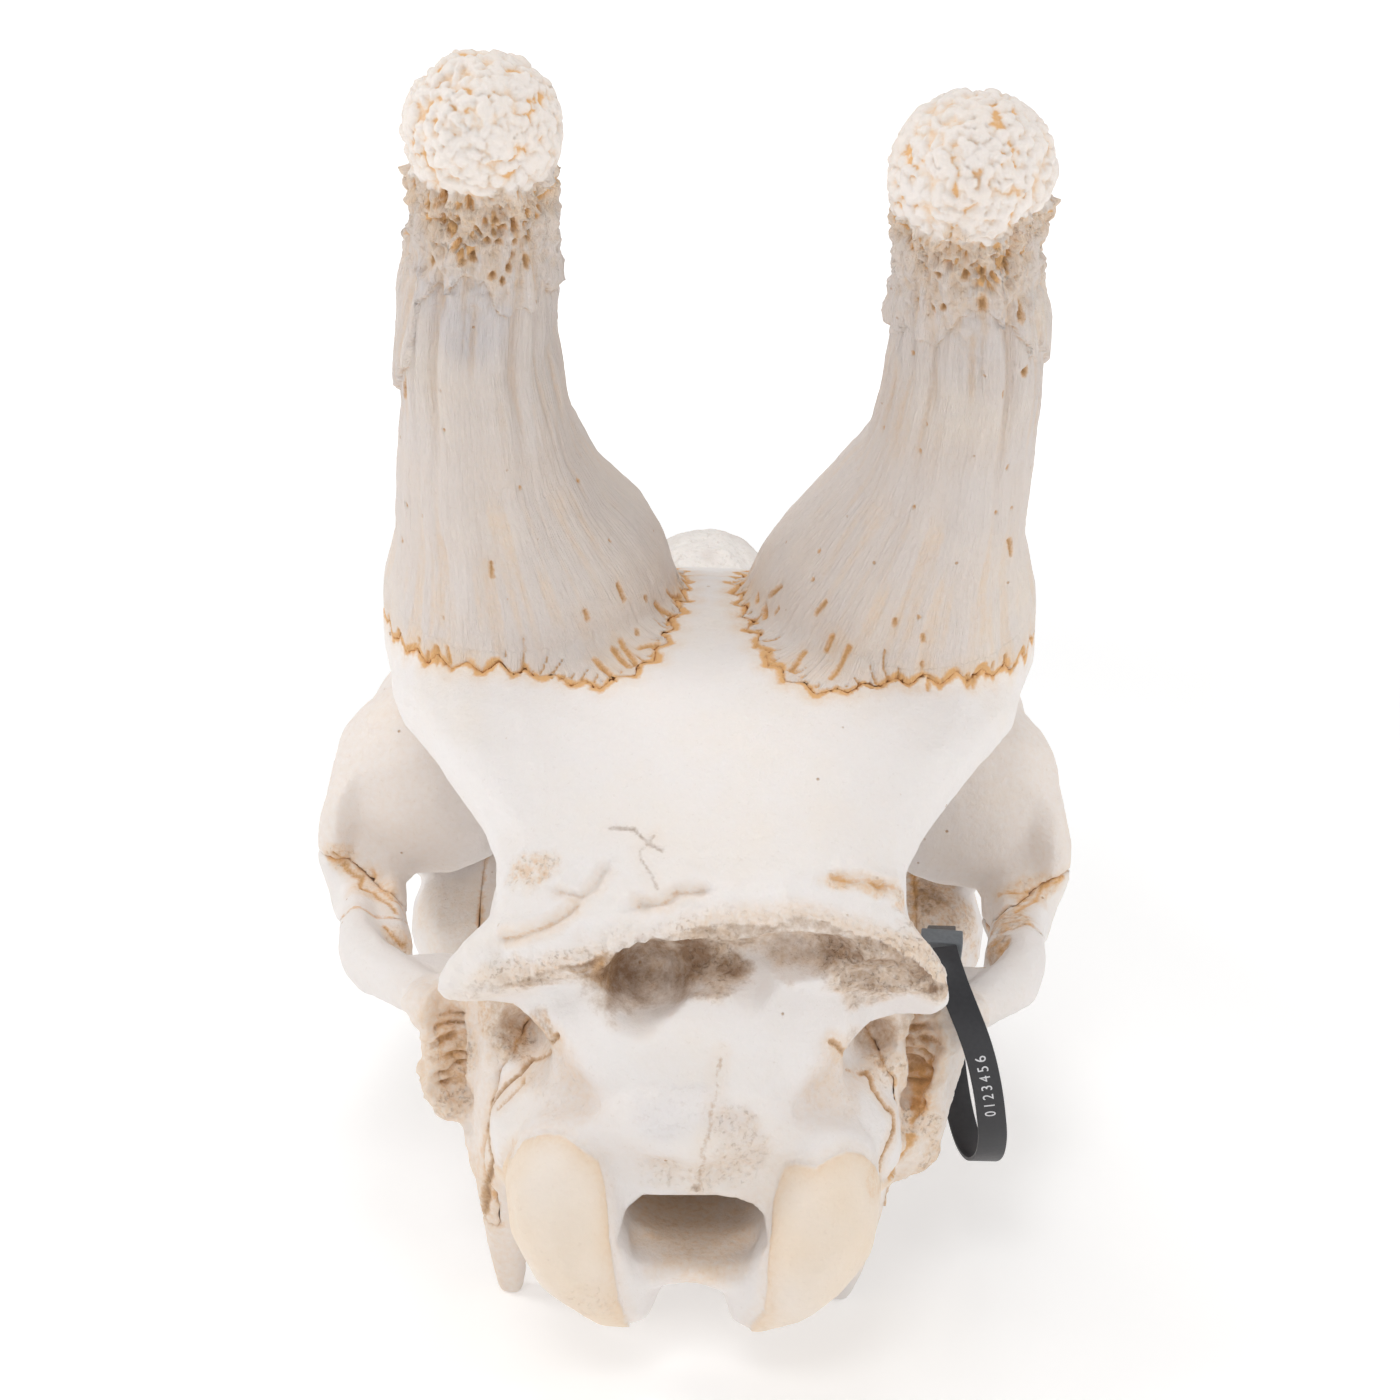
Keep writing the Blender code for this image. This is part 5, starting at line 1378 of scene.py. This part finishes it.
class SKULL_OT_studio(bpy.types.Operator):
    """Lay the pale floor and set the soft lights and the camera"""
    bl_idname = "skull.studio"
    bl_label = "Studio"

    def execute(self, context):
        studio = context.scene.skull_studio
        bpy.ops.object.select_all(action="DESELECT")
        bpy.ops.mesh.primitive_plane_add(size=studio.floor_size, location=(0, 0, 0))
        floor = context.object
        floor.name = "studio_floor"
        paint, tree, link, shader = new_finish("floor_paint")
        shader.inputs["Base Color"].default_value = (*studio.floor_colour, 1)
        shader.inputs["Roughness"].default_value = 0.8
        shader.inputs["Emission Color"].default_value = (1.0, 1.0, 1.0, 1.0)
        place = node(tree, "ShaderNodeTexCoord", (-1000, -300))
        reach = node(tree, "ShaderNodeVectorMath", (-800, -300))
        reach.operation = "LENGTH"
        link(place.outputs["Object"], reach.inputs[0])
        glow = node(tree, "ShaderNodeMapRange", (-600, -300), From_Min=GLOW_REACH[0], From_Max=GLOW_REACH[1],
                    To_Min=NEAR_GLOW, To_Max=studio.floor_glow)
        glow.interpolation_type = "SMOOTHSTEP"
        link(reach.outputs["Value"], glow.inputs["Value"])
        link(glow.outputs["Result"], shader.inputs["Emission Strength"])
        floor.data.materials.append(paint)
        world = bpy.data.worlds.new("studio_air")
        world.use_nodes = True
        sky = world.node_tree.nodes["Background"]
        sky.inputs["Color"].default_value = (1.0, 0.995, 0.99, 1)
        sky.inputs["Strength"].default_value = SKY_STRENGTH
        context.scene.world = world
        context.scene.view_settings.view_transform = "Standard"
        for name, place, size, share in LAMPS:
            lamp = bpy.data.lights.new(name + "_light", "AREA")
            lamp.shape = "DISK"
            lamp.size = size
            lamp.energy = studio.key_power * share
            holder = bpy.data.objects.new(name + "_light", lamp)
            context.scene.collection.objects.link(holder)
            aim = Vector(LAMP_AIM) - Vector(place)
            turn = aim.to_track_quat("-Z", "Y").to_matrix().to_4x4()
            holder.matrix_world = Matrix.Translation(place) @ turn
        camera = bpy.data.cameras.new("photo_camera")
        camera.sensor_width = SENSOR_WIDTH
        camera.lens = SENSOR_WIDTH * FOCAL_PIXELS / PHOTO_PIXELS
        camera.clip_start = 0.01
        camera.clip_end = 100.0
        holder = bpy.data.objects.new("photo_camera", camera)
        context.scene.collection.objects.link(holder)
        pose = Matrix(CAMERA_AXES).transposed().to_4x4()
        pose.translation = (Vector(CAMERA_PLACE) + Vector(FOOT_SHIFT)) * MM
        holder.matrix_world = pose
        context.scene.camera = holder
        return {"FINISHED"}


class SKULL_PT_sidebar(bpy.types.Panel):
    """Lists the sizes and the pieces of the skull"""
    bl_idname = "SKULL_PT_sidebar"
    bl_label = "Giraffe Skull"
    bl_space_type = "VIEW_3D"
    bl_region_type = "UI"
    bl_category = "Skull"

    def draw(self, context):
        scene = context.scene
        for group in (scene.skull_bone, scene.skull_tag, scene.skull_studio):
            box = self.layout.box()
            for key in group.__annotations__:
                box.prop(group, key)
        for made in PIECES:
            self.layout.operator(made.bl_idname)


PIECES = (SKULL_OT_studio, SKULL_OT_braincase, SKULL_OT_forehead, SKULL_OT_horn_cores, SKULL_OT_nose_horn,
          SKULL_OT_face, SKULL_OT_tag_strap, SKULL_OT_tag_number, SKULL_OT_tag_lock)
CLASSES = (SKULL_PG_bone, SKULL_PG_tag, SKULL_PG_studio, *PIECES, SKULL_PT_sidebar)


def register():
    for made in CLASSES:
        bpy.utils.register_class(made)
    bpy.types.Scene.skull_bone = PointerProperty(type=SKULL_PG_bone)
    bpy.types.Scene.skull_tag = PointerProperty(type=SKULL_PG_tag)
    bpy.types.Scene.skull_studio = PointerProperty(type=SKULL_PG_studio)


def unregister():
    del bpy.types.Scene.skull_bone
    del bpy.types.Scene.skull_tag
    del bpy.types.Scene.skull_studio
    for made in reversed(CLASSES):
        bpy.utils.unregister_class(made)


def main():
    register()
    bpy.ops.skull.studio()
    bpy.ops.skull.braincase()
    bpy.ops.skull.forehead()
    bpy.ops.skull.horn_cores()
    bpy.ops.skull.nose_horn()
    bpy.ops.skull.face()
    bpy.ops.skull.tag_strap()
    bpy.ops.skull.tag_number()
    bpy.ops.skull.tag_lock()


if __name__ == "__main__":
    main()
